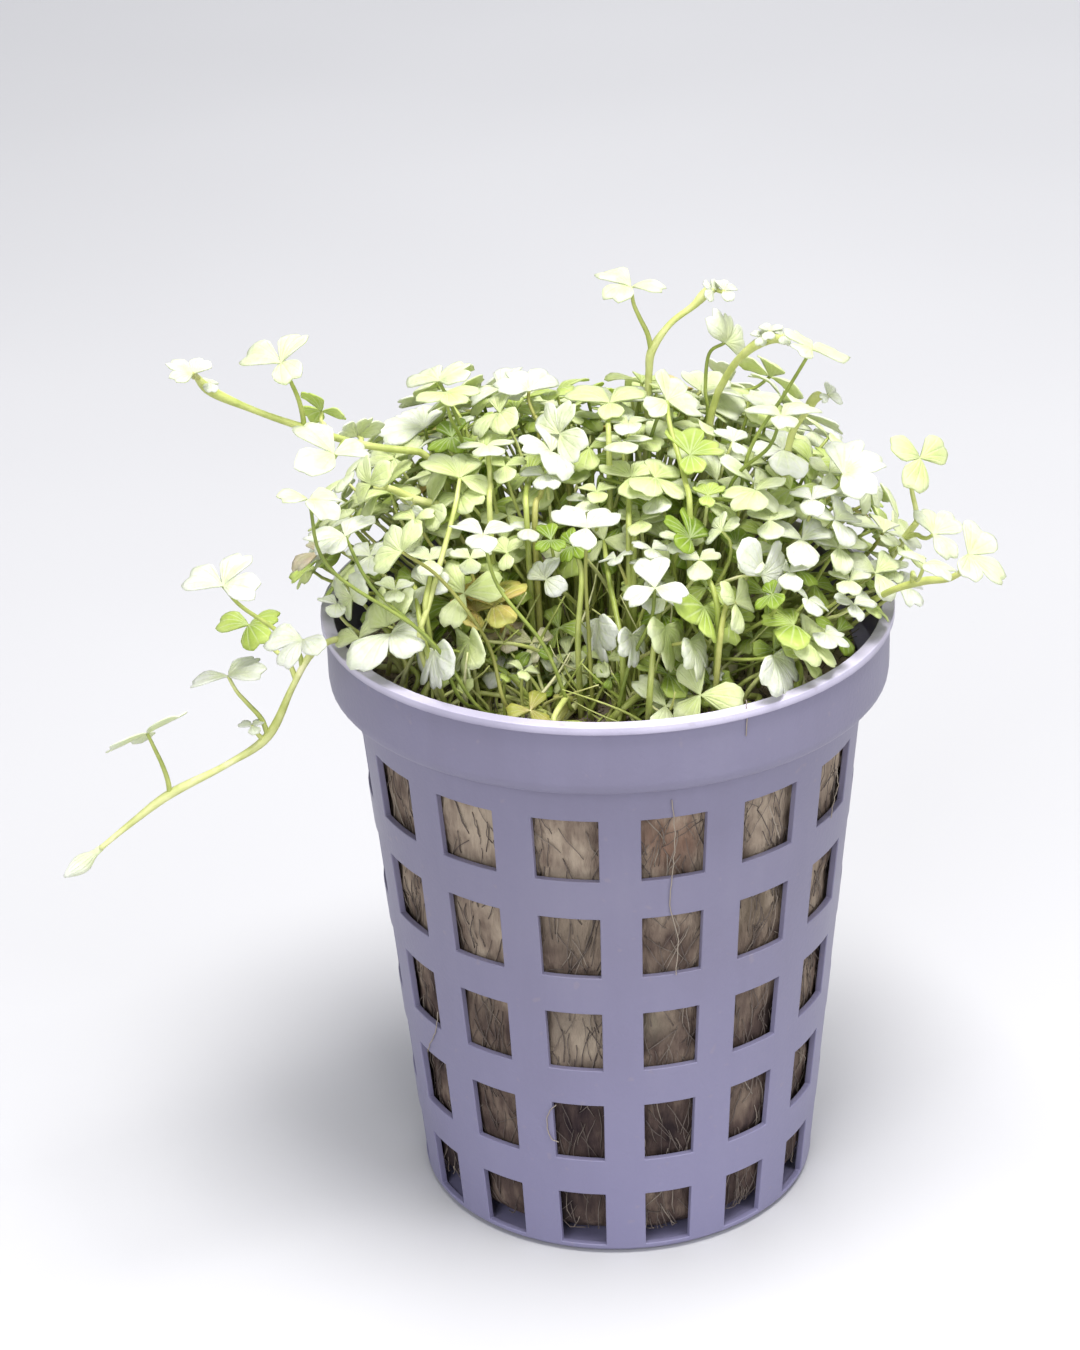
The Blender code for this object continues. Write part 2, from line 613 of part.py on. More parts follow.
def net_pot():
    """The pot as one closed body: floor, holed wall, stepped collar and lip."""
    mesh = bmesh.new()
    levels = hole_levels()
    outer = [column_ring(mesh, wall_radius(z), z) for z in levels]
    inner = [column_ring(mesh, wall_radius(z) - WALL_THICKNESS, z) for z in levels]
    for step in range(len(levels) - 1):
        is_hole = step % 2 == 0
        band(mesh, outer[step], outer[step + 1], is_hole)
        band(mesh, inner[step], inner[step + 1], is_hole)
        if is_hole:
            hole_walls(mesh, outer[step], outer[step + 1], inner[step], inner[step + 1])
    underside = column_ring(mesh, BASE_RADIUS - FOOT_ROUNDING, 0)
    foot = column_ring(mesh, wall_radius(FOOT_ROUNDING), FOOT_ROUNDING)
    mesh.faces.new(underside)
    band(mesh, underside, foot)
    band(mesh, foot, outer[0])
    floor_edge = column_ring(mesh, wall_radius(FLOOR_THICKNESS) - WALL_THICKNESS, FLOOR_THICKNESS)
    mesh.faces.new(floor_edge)
    band(mesh, floor_edge, inner[0])
    ledge = COLLAR_BOTTOM + COLLAR_THICKNESS
    lip_bottom = POT_HEIGHT - LIP_HEIGHT
    rim_profile = [(wall_radius(COLLAR_BOTTOM), COLLAR_BOTTOM), (COLLAR_RADIUS, COLLAR_BOTTOM),
                   (COLLAR_RADIUS, lip_bottom), (LIP_RADIUS, lip_bottom), (LIP_RADIUS, POT_HEIGHT),
                   (LIP_INNER_RADIUS, POT_HEIGHT), (COLLAR_RADIUS - COLLAR_THICKNESS, ledge),
                   (wall_radius(ledge) - WALL_THICKNESS, ledge)]
    rings = [outer[-1]] + [column_ring(mesh, *corner) for corner in rim_profile] + [inner[-1]]
    for lower, upper in zip(rings, rings[1:]):
        band(mesh, lower, upper)
    return finished("net_pot", mesh, "plastic")


def turned_ring(mesh, radius, height, count, wave=0.0):
    """A ring of a rounded lump. height is a number or a function of x and y."""
    ring = []
    for step in range(count):
        angle = step * math.tau / count
        bulge = 1 + wave * noise.noise(Vector((math.cos(angle), math.sin(angle), 0.5)) * 2.3)
        x = bulge * radius * math.cos(angle)
        y = bulge * radius * math.sin(angle)
        ring.append(mesh.verts.new((x, y, height(x, y) if callable(height) else height)))
    return ring


def lump(name, material, side_rings, top_radii, top_height, count, wave=0.0):
    """A closed turned body with a flat underside and an uneven top."""
    mesh = bmesh.new()
    rings = [turned_ring(mesh, radius, z, count, wave) for radius, z in side_rings]
    rings += [turned_ring(mesh, radius, top_height, count, wave) for radius in top_radii]
    mesh.faces.new(rings[0])
    for lower, upper in zip(rings, rings[1:]):
        for index in range(count):
            after = (index + 1) % count
            mesh.faces.new((lower[index], lower[after], upper[after], upper[index]))
    middle = mesh.verts.new((0, 0, top_height(0, 0)))
    for index in range(count):
        mesh.faces.new((rings[-1][index], rings[-1][(index + 1) % count], middle))
    return finished(name, mesh, material)


def rockwool_top(x, y):
    """Height of the rockwool's uneven top."""
    return ROCKWOOL_TOP + ROCKWOOL_BUMP * noise.noise(Vector((x, y, 0)) / (4 * MM))


def rockwool_plug():
    """The rockwool, which follows the pot's wall from its floor to just under its lip."""
    inset = WALL_THICKNESS + 2 * GAP
    bottom = FLOOR_THICKNESS + GAP
    side_rings = [(wall_radius(z) - inset, z) for z in evenly(bottom, COLLAR_BOTTOM, 4)]
    radius = wall_radius(COLLAR_BOTTOM) - inset
    return lump("rockwool_plug", "rockwool", side_rings,
                [share * radius for share in (0.99, 0.7, 0.35)], rockwool_top, 30)


def thicket_shoulder(x, y):
    """Height at which the thicket's side turns into its top."""
    return min(THICKET_SHOULDER, thicket_height(x, y))


def stem_thicket():
    """The mass of stems and small leaves over the rockwool, up to a little under the crown's leaves."""
    bottom = ROCKWOOL_TOP + ROCKWOOL_BUMP + GAP
    shares = (0.97, 0.86, 0.72, 0.57, 0.42, 0.28, 0.14)
    side_rings = [(0.90 * THICKET_RADIUS, bottom), (THICKET_RADIUS, thicket_shoulder)]
    return lump("stem_thicket", "leaf", side_rings,
                [share * THICKET_RADIUS for share in shares], thicket_height, 30, 0.05)


COLOURS = {
    "plastic": ((0.62, 0.60, 0.74, 1), 0.42),
    "rockwool": ((0.16, 0.12, 0.08, 1), 0.95),
    "leaf": ((0.50, 0.60, 0.22, 1), 0.5),
    "stem": ((0.36, 0.42, 0.12, 1), 0.5),
}


def finished(name, mesh, material_name):
    """A named object made from the mesh, with its faces outwards and a material of its own."""
    bmesh.ops.triangulate(mesh, faces=[face for face in mesh.faces if len(face.verts) > 3])
    bmesh.ops.recalc_face_normals(mesh, faces=mesh.faces)
    data = bpy.data.meshes.new(name)
    mesh.to_mesh(data)
    mesh.free()
    colour, roughness = COLOURS[material_name]
    material = bpy.data.materials.new(name)
    material.use_nodes = True
    surface = material.node_tree.nodes["Principled BSDF"]
    surface.inputs["Base Color"].default_value = colour
    surface.inputs["Roughness"].default_value = roughness
    data.materials.append(material)
    data.shade_smooth()
    data.set_sharp_from_angle(angle=math.radians(40))
    made = bpy.data.objects.new(name, data)
    bpy.context.scene.collection.objects.link(made)
    return made


def surface_tree(made):
    """A search tree of an object's surface."""
    mesh = bmesh.new()
    mesh.from_mesh(made.data)
    tree = BVHTree.FromBMesh(mesh)
    mesh.free()
    return tree


def main():
    for old in list(bpy.data.objects):
        bpy.data.objects.remove(old, do_unlink=True)
    pot = net_pot()
    rockwool_plug()
    thicket = stem_thicket()
    for runner in RUNNERS:
        runner_object(runner)
    for blade in place_leaves([surface_tree(pot), surface_tree(thicket)]):
        leaf_object(blade)


main()
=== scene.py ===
"""The looks of a pennywort in a net pot: leaves, stems, pot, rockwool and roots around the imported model.

Units are metres with +Z up, in the model's own frame. Pixels are those of the 1080 x 1350 photograph.
"""

import math
import random
from collections import namedtuple

import bmesh
import bpy
from mathutils import Matrix, Vector, noise


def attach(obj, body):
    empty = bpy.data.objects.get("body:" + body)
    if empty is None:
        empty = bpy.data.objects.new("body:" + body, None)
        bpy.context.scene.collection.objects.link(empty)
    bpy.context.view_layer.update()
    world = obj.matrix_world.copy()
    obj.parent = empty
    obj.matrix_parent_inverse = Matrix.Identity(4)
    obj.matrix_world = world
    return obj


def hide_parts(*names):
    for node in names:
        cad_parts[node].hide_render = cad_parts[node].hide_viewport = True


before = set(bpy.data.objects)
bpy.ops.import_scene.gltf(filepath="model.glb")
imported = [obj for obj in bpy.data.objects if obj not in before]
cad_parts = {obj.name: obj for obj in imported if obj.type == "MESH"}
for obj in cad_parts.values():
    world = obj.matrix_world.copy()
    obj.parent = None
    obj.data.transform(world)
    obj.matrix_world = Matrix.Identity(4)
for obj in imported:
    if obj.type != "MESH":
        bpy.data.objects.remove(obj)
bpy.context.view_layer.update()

MM = 0.001

# Net pot
POT_HEIGHT = 56.2 * MM
BASE_RADIUS = 18.0 * MM
WALL_SLOPE = 0.091
FLOOR_THICKNESS = 0.7 * MM
FOOT_ROUNDING = 0.5 * MM
COLLAR_BOTTOM = 49.4 * MM
COLLAR_RADIUS = 24.6 * MM
COLLAR_THICKNESS = 1.0 * MM
LIP_RADIUS = 25.0 * MM
LIP_INNER_RADIUS = 23.85 * MM
LIP_HEIGHT = 0.75 * MM
HOLE_COLUMNS = 15
HOLE_ROWS = 5
HOLE_HEIGHT = 6.05 * MM
TOP_HOLE_TOP = 46.05 * MM
ROW_PITCH = 9.86 * MM
RIB_WIDTH = 3.56 * MM
FIRST_COLUMN_ANGLE = math.radians(1.7 + 12.0)
LOWEST_HOLE_EDGE = 0.9 * MM

# Rockwool
ROCKWOOL_TOP = 52.4 * MM
ROCKWOOL_BUMP = 0.7 * MM
ROCKWOOL_INSET = 0.95 * MM

# Crown of leaves
CROWN_CENTRE = (0.0, 3.0 * MM)
CROWN_RADII = (27.0 * MM, 24.5 * MM)
CROWN_EDGE_HEIGHT = 55.0 * MM
CROWN_RISE = 20.5 * MM
HOLLOW_CENTRE = (-4.0 * MM, -17.0 * MM)
HOLLOW_RADIUS = 9.0 * MM
HOLLOW_DEPTH = 8.0 * MM

# Leaf
LOBE_LENGTH = 3.75 * MM
BLADE_THICKNESS = 0.35 * MM
BLADE_SHEET = 0.13 * MM
SOLID_CORNER = (0.95, 0.27)

# Camera of the photograph
PHOTO_WIDTH = 1080
PHOTO_HEIGHT = 1350
PHOTO_FOCAL_LENGTH = 3438.5
CAMERA_PLACE = Vector((0.0, -272.9 * MM, 181.0 * MM))
CAMERA_PITCH = math.radians(25.81)
CAMERA_YAW = math.radians(-1.27)
CAMERA_ROLL = math.radians(-1.73)
FILM_HEIGHT = 36.0

# Tones of a leaf, from green to near white: partly its own colour, with painted shade in the greens and painted
# light in the whites
GREEN = 0.12
YELLOW_GREEN = 0.38
PALE = 0.68
BRIGHT = 0.84
WHITE = 1.0

Runner = namedtuple("Runner", "name path")

# A leaf's hub, tips and foot are pixels of the photograph. Its depth is millimetres behind the pot's axis,
# or None for a leaf that lies on the crown. Its foot is where its stalk meets a runner.
Leaf = namedtuple("Leaf", "name hub tips depth foot size tone", defaults=(None, None, 1.0, BRIGHT))

# Each runner's path: pixel across, pixel down, millimetres behind the pot's axis, stem radius in millimetres
RUNNERS = [
    Runner("runner_low_left", [
        (351, 637, -8.6, 0.34), (328, 642, -11.3, 0.34), (309, 657, -12.2, 0.38),
        (292, 688, -12.6, 0.34), (268, 736, -13.0, 0.49), (226, 765, -13.8, 0.34), (170, 794, -15.0, 0.49),
        (130, 824, -15.8, 0.34), (101, 848, -16.4, 0.3), (84, 862, -16.8, 0.65), (64, 877, -17.2, 0.27)]),
    Runner("runner_high_left", [
        (420, 452, -3.0, 0.38), (360, 444, -4.0, 0.38), (296, 425, -5.0, 0.38), (251, 409, -6.0, 0.34),
        (211, 391, -7.0, 0.53), (194, 374, -7.4, 0.27)]),
    Runner("runner_middle_left", [
        (452, 505, -6.0, 0.3), (418, 500, -7.0, 0.42), (392, 489, -7.5, 0.34), (374, 487, -8.0, 0.23)]),
    Runner("stem_tall_fork", [
        (648, 396, 3.0, 0.38), (649, 372, 3.0, 0.38), (652, 350, 3.0, 0.46), (670, 324, 3.6, 0.34),
        (693, 306, 4.2, 0.38), (708, 291, 4.6, 0.65), (717, 289, 4.8, 0.23)]),
    Runner("runner_top_right", [
        (718, 392, 1.0, 0.38), (731, 369, 0.0, 0.38), (744, 354, -1.0, 0.42), (759, 343, -1.6, 0.57),
        (776, 338, -2.2, 1), (789, 341, -2.6, 0.3)]),
    Runner("stem_right_fork", [
        (786, 462, -3.0, 0.34), (792, 434, -3.0, 0.38), (804, 415, -3.2, 0.3), (815, 398, -3.6, 0.65),
        (824, 396, -3.8, 0.23)]),
    Runner("runner_right_high", [
        (872, 592, 1.0, 0.34), (886, 566, -1.0, 0.38), (900, 544, -2.0, 0.38), (917, 522, -3.0, 0.34)]),
    Runner("runner_right_low", [
        (866, 604, -8.0, 0.34), (893, 590, -10.5, 0.34), (924, 581, -11.6, 0.42), (947, 579, -12.3, 0.34),
        (962, 572, -12.8, 0.3)]),
]

# Leaves that are solids of the model, with their places there
MODEL_LEAVES = [
    Leaf("leaf_far_left", (193, 373), ((168, 361), (171, 380), (206, 359)), -7.8, (197, 378), 0.75),
    Leaf("leaf_high_left", (281, 363), ((243, 356), (304, 334), (295, 383)), -6.5, (301, 423)),
    Leaf("leaf_high_left_green", (322, 411), ((305, 392), (344, 417), (304, 418)), -4.0, (330, 432), 0.75,
         YELLOW_GREEN),
    Leaf("leaf_left_large", (334, 454), ((299, 424), (302, 473), (369, 450)), -9.5, (352, 442), 1.1),
    Leaf("leaf_left_small", (358, 436), ((339, 430), (369, 417), (384, 428)), -6.5, (362, 445), 0.7),
    Leaf("leaf_left_cupped", (371, 484), ((362, 458), (392, 468), (359, 496)), -10.0, (386, 489), 0.75, PALE),
    Leaf("leaf_left_white", (345, 536), ((304, 536), (368, 515), (322, 556)), -12.0, None, 1.1, WHITE),
    Leaf("leaf_left_pair", (309, 500), ((278, 500), (342, 499), (330, 521)), -9.0, None),
    Leaf("leaf_low_left", (223, 586), ((186, 577), (247, 553), (260, 592)), -14.0, (300, 668), 1.1, WHITE),
    Leaf("leaf_low_left_green", (249, 625), ((217, 622), (277, 617), (262, 648)), -12.4, (297, 679), 0.95,
         YELLOW_GREEN),
    Leaf("leaf_rim_left", (303, 640), ((265, 640), (281, 668), (322, 650)), -14.2, (312, 654), 0.9, WHITE),
    Leaf("leaf_runner_first", (228, 676), ((190, 685), (258, 657), (266, 674)), -12.5, (266, 738), 0.95, WHITE),
    Leaf("leaf_runner_second", (147, 733), ((105, 750), (182, 711), (142, 739)), -14.8, (169, 795)),
    Leaf("leaf_tallest", (631, 287), ((599, 273), (609, 303), (662, 290)), 2.4, (651, 352)),
    Leaf("leaf_top_folded", (725, 343), ((709, 311), (728, 316), (745, 338)), 3.6, None, 0.9),
    Leaf("leaf_top_right", (812, 349), ((789, 328), (846, 353), (799, 350)), -3.2, None, 0.95),
    Leaf("leaf_right_tall", (781, 417), ((748, 408), (816, 408), (787, 428)), -6.0, None),
    Leaf("leaf_right_white", (843, 474), ((846, 440), (886, 462), (870, 500)), -6.0, None, 1.1, WHITE),
    Leaf("leaf_right_high", (920, 458), ((891, 443), (946, 446), (912, 492)), -4.4, (917, 524), 1.0, PALE),
    Leaf("leaf_right_middle", (933, 534), ((918, 508), (958, 518), (953, 560)), -5.0, (905, 538), 0.9),
    Leaf("leaf_far_right", (969, 555), ((984, 528), (1006, 583), (969, 581)), -13.2, (961, 573), 1.1),
    Leaf("leaf_right_small", (897, 546), ((879, 536), (891, 534), (903, 552)), -3.4, (893, 556), 0.55),
    Leaf("leaf_right_edge", (925, 564), ((902, 551), (944, 578), (955, 569)), -10.6, (911, 583), 0.75),
    Leaf("leaf_crown_01", (439, 381), ((412, 372), (466, 361), (460, 377))),
    Leaf("leaf_crown_02", (446, 392), ((478, 390), (460, 405), (424, 400)), tone=PALE),
    Leaf("leaf_crown_03", (425, 428), ((398, 414), (376, 441), (432, 405)), tone=WHITE),
    Leaf("leaf_crown_04", (529, 391), ((511, 370), (552, 374), (494, 388)), tone=WHITE),
    Leaf("leaf_crown_05", (560, 434), ((541, 410), (572, 404), (586, 455))),
    Leaf("leaf_crown_06", (610, 403), ((569, 390), (643, 389), (612, 418)), tone=PALE),
    Leaf("leaf_crown_07", (667, 401), ((672, 372), (648, 410), (703, 409))),
    Leaf("leaf_crown_08", (701, 391), ((727, 376), (744, 415), (690, 372))),
    Leaf("leaf_crown_09", (460, 478), ((424, 458), (470, 455), (486, 489)), tone=PALE),
    Leaf("leaf_crown_10", (631, 477), ((603, 462), (655, 462), (640, 500)), tone=PALE),
    Leaf("leaf_crown_11", (690, 455), ((680, 425), (724, 447), (694, 470)), tone=YELLOW_GREEN),
    Leaf("leaf_crown_12", (587, 528), ((556, 507), (580, 548), (614, 510)), tone=WHITE),
    Leaf("leaf_crown_13", (483, 535), ((452, 524), (514, 526), (480, 552)), tone=WHITE),
    Leaf("leaf_crown_14", (756, 490), ((724, 494), (745, 512), (780, 478)), tone=PALE),
    Leaf("leaf_crown_15", (402, 552), ((388, 530), (413, 530), (372, 566)), tone=PALE),
    Leaf("leaf_crown_16", (655, 588), ((624, 604), (650, 556), (684, 598)), tone=WHITE),
]

# Leaves between and below those: hub, tips and tone
CROWN_FILL = [
    ((551, 452), ((517, 446), (545, 428), (556, 478)), WHITE),
    ((783, 450), ((756, 452), (776, 434), (790, 480)), WHITE),
    ((655, 478), ((690, 499), (668, 462), (640, 492)), PALE),
    ((835, 520), ((803, 506), (848, 508), (846, 545)), WHITE),
    ((762, 575), ((740, 545), (784, 548), (776, 592)), WHITE),
    ((452, 437), ((430, 452), (467, 450), (450, 418)), GREEN),
    ((500, 413), ((478, 435), (512, 430), (505, 393)), PALE),
    ((487, 446), ((460, 445), (512, 440), (490, 456)), BRIGHT),
    ((505, 466), ((488, 458), (524, 460), (506, 482)), PALE),
    ((545, 475), ((521, 470), (570, 470), (548, 490)), WHITE),
    ((622, 441), ((598, 437), (648, 437), (620, 452)), BRIGHT),
    ((628, 425), ((606, 420), (650, 419), (628, 434)), BRIGHT),
    ((733, 442), ((716, 431), (738, 429), (742, 456)), WHITE),
    ((708, 495), ((695, 485), (721, 484), (706, 506)), YELLOW_GREEN),
    ((830, 472), ((811, 461), (847, 461), (832, 493)), BRIGHT),
    ((893, 570), ((879, 561), (904, 561), (893, 583)), BRIGHT),
    ((802, 540), ((774, 527), (827, 525), (802, 568)), WHITE),
    ((838, 548), ((818, 537), (861, 537), (841, 573)), BRIGHT),
    ((790, 572), ((771, 561), (809, 561), (790, 591)), WHITE),
    ((752, 556), ((735, 544), (771, 544), (750, 576)), BRIGHT),
    ((370, 556), ((350, 547), (391, 544), (368, 576)), WHITE),
    ((430, 560), ((411, 549), (449, 547), (430, 577)), BRIGHT),
    ((470, 558), ((452, 549), (489, 549), (470, 573)), BRIGHT),
    ((507, 553), ((495, 539), (518, 541), (506, 569)), PALE),
    ((528, 529), ((511, 523), (546, 523), (528, 541)), WHITE),
    ((546, 580), ((531, 567), (553, 565), (564, 593)), WHITE),
    ((616, 558), ((602, 560), (629, 553), (616, 564)), WHITE),
    ((600, 618), ((590, 653), (607, 666), (618, 640)), WHITE),
    ((632, 635), ((617, 646), (647, 642), (632, 663)), WHITE),
    ((391, 634), ((356, 673), (426, 622), (418, 656)), WHITE),
    ((434, 650), ((418, 676), (436, 685), (453, 666)), WHITE),
    ((388, 626), ((371, 598), (413, 593), (394, 602)), PALE),
    ((352, 598), ((333, 577), (367, 582), (345, 613)), BRIGHT),
    ((337, 604), ((320, 597), (353, 599), (335, 616)), WHITE),
    ((470, 640), ((468, 673), (455, 652), (483, 654)), PALE),
    ((650, 566), ((633, 560), (669, 560), (652, 578)), WHITE),
    ((652, 549), ((637, 545), (668, 545), (654, 561)), WHITE),
    ((676, 540), ((663, 531), (691, 533), (678, 553)), BRIGHT),
    ((704, 607), ((676, 603), (723, 618), (712, 642)), YELLOW_GREEN),
    ((735, 603), ((721, 589), (749, 591), (736, 632)), PALE),
    ((665, 627), ((670, 674), (650, 641), (685, 650)), PALE),
    ((690, 641), ((698, 675), (683, 661), (707, 656)), BRIGHT),
    ((773, 656), ((766, 692), (791, 702), (797, 670)), WHITE),
    ((805, 641), ((819, 625), (833, 664), (806, 664)), PALE),
    ((854, 604), ((836, 599), (873, 599), (856, 620)), WHITE),
    ((826, 633), ((846, 645), (824, 646), (838, 631)), WHITE),
    ((808, 600), ((827, 608), (799, 592), (813, 614)), WHITE),
    ((794, 625), ((765, 620), (785, 613), (790, 647)), YELLOW_GREEN),
    ((772, 594), ((759, 607), (780, 606), (769, 581)), GREEN),
    ((722, 531), ((705, 540), (739, 521), (719, 514)), BRIGHT),
    ((690, 538), ((668, 520), (695, 514), (681, 547)), GREEN),
    ((736, 545), ((722, 530), (748, 531), (738, 556)), GREEN),
    ((551, 540), ((545, 523), (562, 549), (538, 551)), GREEN),
    ((573, 545), ((566, 530), (588, 555), (565, 562)), GREEN),
    ((870, 487), ((850, 476), (880, 500), (862, 512)), BRIGHT),
    ((812, 500), ((792, 490), (832, 488), (812, 516)), WHITE),
    ((770, 520), ((752, 508), (790, 506), (772, 538)), BRIGHT),
    ((850, 580), ((830, 570), (868, 572), (848, 596)), BRIGHT),
    ((415, 520), ((398, 512), (434, 514), (414, 536)), PALE),
    ((395, 590), ((378, 580), (412, 582), (394, 604)), BRIGHT),
    ((640, 520), ((622, 512), (658, 510), (640, 534)), PALE),
    ((700, 560), ((682, 550), (718, 550), (700, 580)), BRIGHT),
    ((597, 492), ((580, 486), (614, 485), (598, 503)), PALE),
    ((585, 500), ((570, 494), (604, 492), (588, 512)), BRIGHT),
]

# Ageing leaves in the hollow, turning orange: hub and tips
BROWNING_LEAVES = [
    ((494, 606), ((468, 580), (524, 582), (505, 622))),
    ((476, 612), ((454, 598), (489, 594), (470, 628))),
]

# Small young leaves and buds on the runners: hub, tips, millimetres behind the axis, foot
YOUNG_LEAVES = [
    ((252, 726), ((263, 718), (240, 722), (256, 733)), -13.6, (262, 739)),
    ((724, 291), ((719, 280), (737, 288), (730, 302)), 3.6, (716, 290)),
    ((713, 290), ((706, 283), (717, 281), (708, 299)), 3.8, (708, 291)),
    ((828, 396), ((830, 383), (843, 401), (822, 399)), -4.0, (820, 397)),
    ((412, 506), ((400, 512), (424, 514), (410, 496)), -7.2, (414, 500)),
    ((208, 384), ((200, 378), (216, 382), (212, 392)), -7.0, (210, 391)),
    ((770, 331), ((762, 324), (782, 325), (768, 340)), -2.4, (770, 340)),
    ((782, 336), ((774, 328), (796, 333), (786, 345)), -2.6, (778, 340)),
    ((762, 337), ((752, 332), (770, 328), (760, 346)), -1.8, (764, 342)),
]

# Long stalks that show in front of the crown: pixels from the top down
FRONT_STALKS = [
    ((455, 480), (448, 540), (430, 600), (420, 645)),
    ((668, 412), (672, 440), (685, 480), (690, 520)),
    ((627, 480), (628, 512), (629, 548)),
    ((521, 478), (524, 500), (527, 524)),
    ((540, 485), (538, 505), (535, 524)),
    ((605, 420), (607, 436), (609, 452)),
    ((704, 545), (709, 580), (718, 615)),
    ((646, 500), (640, 530), (634, 548)),
    ((726, 575), (724, 600), (720, 640)),
    ((493, 478), (492, 500), (490, 520)),
    ((412, 570), (418, 600), (424, 640)),
    ((441, 560), (430, 590), (426, 616)),
    ((587, 548), (586, 590), (578, 640)),
    ((600, 548), (612, 600), (622, 650)),
    ((655, 600), (652, 640), (650, 690)),
]

# Roots that hang out over the pot: pixels from the top down
ROOTS = [
    ((672, 800), (675, 840), (673, 870), (670, 905), (678, 940), (676, 975)),
    ((836, 766), (838, 785), (834, 800), (831, 818)),
    ((438, 1012), (436, 1030), (431, 1042), (428, 1052)),
    ((556, 1105), (549, 1112), (547, 1125), (551, 1138), (558, 1142)),
    ((746, 700), (747, 715), (746, 736)),
    ((770, 806), (774, 822), (780, 838)),
]

BACK_LEAF_COUNT = 6
BACK_ARC = (math.radians(20), math.radians(160))
BACK_TOP = 70.2 * MM
SHIFTS = sorted([0.6 * MM * step for step in range(-16, 17)], key=abs)


def evenly(start, end, count):
    """Numbers spread evenly from start to end."""
    return [start + (end - start) * step / (count - 1) for step in range(count)]


def view_axes():
    """The camera's directions: right, up and forward."""
    pitch = math.cos(CAMERA_PITCH)
    forward = Vector((math.sin(CAMERA_YAW) * pitch, math.cos(CAMERA_YAW) * pitch, -math.sin(CAMERA_PITCH)))
    level = Vector((math.cos(CAMERA_YAW), -math.sin(CAMERA_YAW), 0))
    upward = level.cross(forward)
    right = math.cos(CAMERA_ROLL) * level + math.sin(CAMERA_ROLL) * upward
    up = math.cos(CAMERA_ROLL) * upward - math.sin(CAMERA_ROLL) * level
    return right, up, forward


RIGHT, UP, FORWARD = view_axes()


def sight(pixel):
    """Direction of the line of sight through a pixel of the photograph."""
    across = (pixel[0] - PHOTO_WIDTH / 2) / PHOTO_FOCAL_LENGTH
    down = (pixel[1] - PHOTO_HEIGHT / 2) / PHOTO_FOCAL_LENGTH
    return (FORWARD + across * RIGHT - down * UP).normalized()


def at_depth(pixel, depth):
    """The point seen at a pixel that lies depth behind the pot's axis."""
    direction = sight(pixel)
    return CAMERA_PLACE + direction * ((depth - CAMERA_PLACE.y) / direction.y)


def crown_height(x, y):
    """Height of the crown's surface over a point of the ground."""
    across = (x - CROWN_CENTRE[0]) / CROWN_RADII[0]
    along = (y - CROWN_CENTRE[1]) / CROWN_RADII[1]
    rise = CROWN_RISE * math.sqrt(max(0.0, 1 - across * across - along * along))
    away = math.hypot(x - HOLLOW_CENTRE[0], y - HOLLOW_CENTRE[1]) / HOLLOW_RADIUS
    return CROWN_EDGE_HEIGHT + rise - HOLLOW_DEPTH * math.exp(-away * away)


def crown_place(around, out):
    """A place under the crown: its direction, and its share of the way out to the crown's edge."""
    return (CROWN_CENTRE[0] + CROWN_RADII[0] * out * math.cos(around),
            CROWN_CENTRE[1] + CROWN_RADII[1] * out * math.sin(around))


def view_height(point):
    """How high a point shows in the camera's view, where level ground behind the pot shows higher."""
    return point.z * math.cos(CAMERA_PITCH) + point.y * math.sin(CAMERA_PITCH)


def polar(radius, angle, z=0.0):
    """The point at a radius and angle about the pot's axis."""
    return Vector((radius * math.cos(angle), radius * math.sin(angle), z))


def on_crown(pixel):
    """The first point of a line of sight that lies on the crown's surface."""
    depth = CROWN_CENTRE[1] - CROWN_RADII[1]
    while depth < CROWN_CENTRE[1] + CROWN_RADII[1]:
        place = at_depth(pixel, depth)
        if place.z < crown_height(place.x, place.y):
            return place
        depth += 0.25 * MM
    return at_depth(pixel, 0.0)


def in_plane(pixel, hub, normal):
    """From hub to where a line of sight meets the plane through hub, or None if it is seen edge-on."""
    direction = sight(pixel)
    facing = direction.dot(normal)
    if abs(facing) < 0.08:
        return None
    distance = (hub - CAMERA_PLACE).dot(normal) / facing
    return CAMERA_PLACE + direction * distance - hub


def leaning_directions(count=700):
    """Directions spread evenly over the upper half of a sphere and a little below its middle."""
    golden = math.pi * (3 - math.sqrt(5))
    for step in range(count):
        height = 1 - 1.25 * (step + 0.5) / count
        around = math.sqrt(1 - height * height)
        yield Vector((around * math.cos(step * golden), around * math.sin(step * golden), height))


LEANS = list(leaning_directions())


def blade_pose(hub, tips, size, foot):
    """The blade's normal and its three lobes, as vectors from the hub, that show the given tips."""
    outward = Vector((hub.x, hub.y - 6 * MM, 0)) / (40 * MM)
    preferred = (Vector((0, 0, 1)) + outward).normalized()
    towards_foot = (foot - hub).normalized()
    best = None
    for normal in LEANS:
        lobes = [in_plane(tip, hub, normal) for tip in tips]
        if None in lobes:
            continue
        cost = 0.35 * (1 - normal.dot(preferred)) + 3 * max(0.0, 0.35 + towards_foot.dot(normal)) ** 2
        for lobe in lobes:
            cost += (lobe.length / (LOBE_LENGTH * size) - 1) ** 2
        for first, second in ((0, 1), (1, 2), (2, 0)):
            spread = math.degrees(lobes[first].angle(lobes[second]))
            cost += 1.5 * (min(0.0, spread - 75) / 60) ** 2 + 0.05 * ((spread - 120) / 60) ** 2
        if best is None or cost < best[0]:
            best = (cost, normal, lobes)
    return best[1], in_order(best[2], best[1], size)


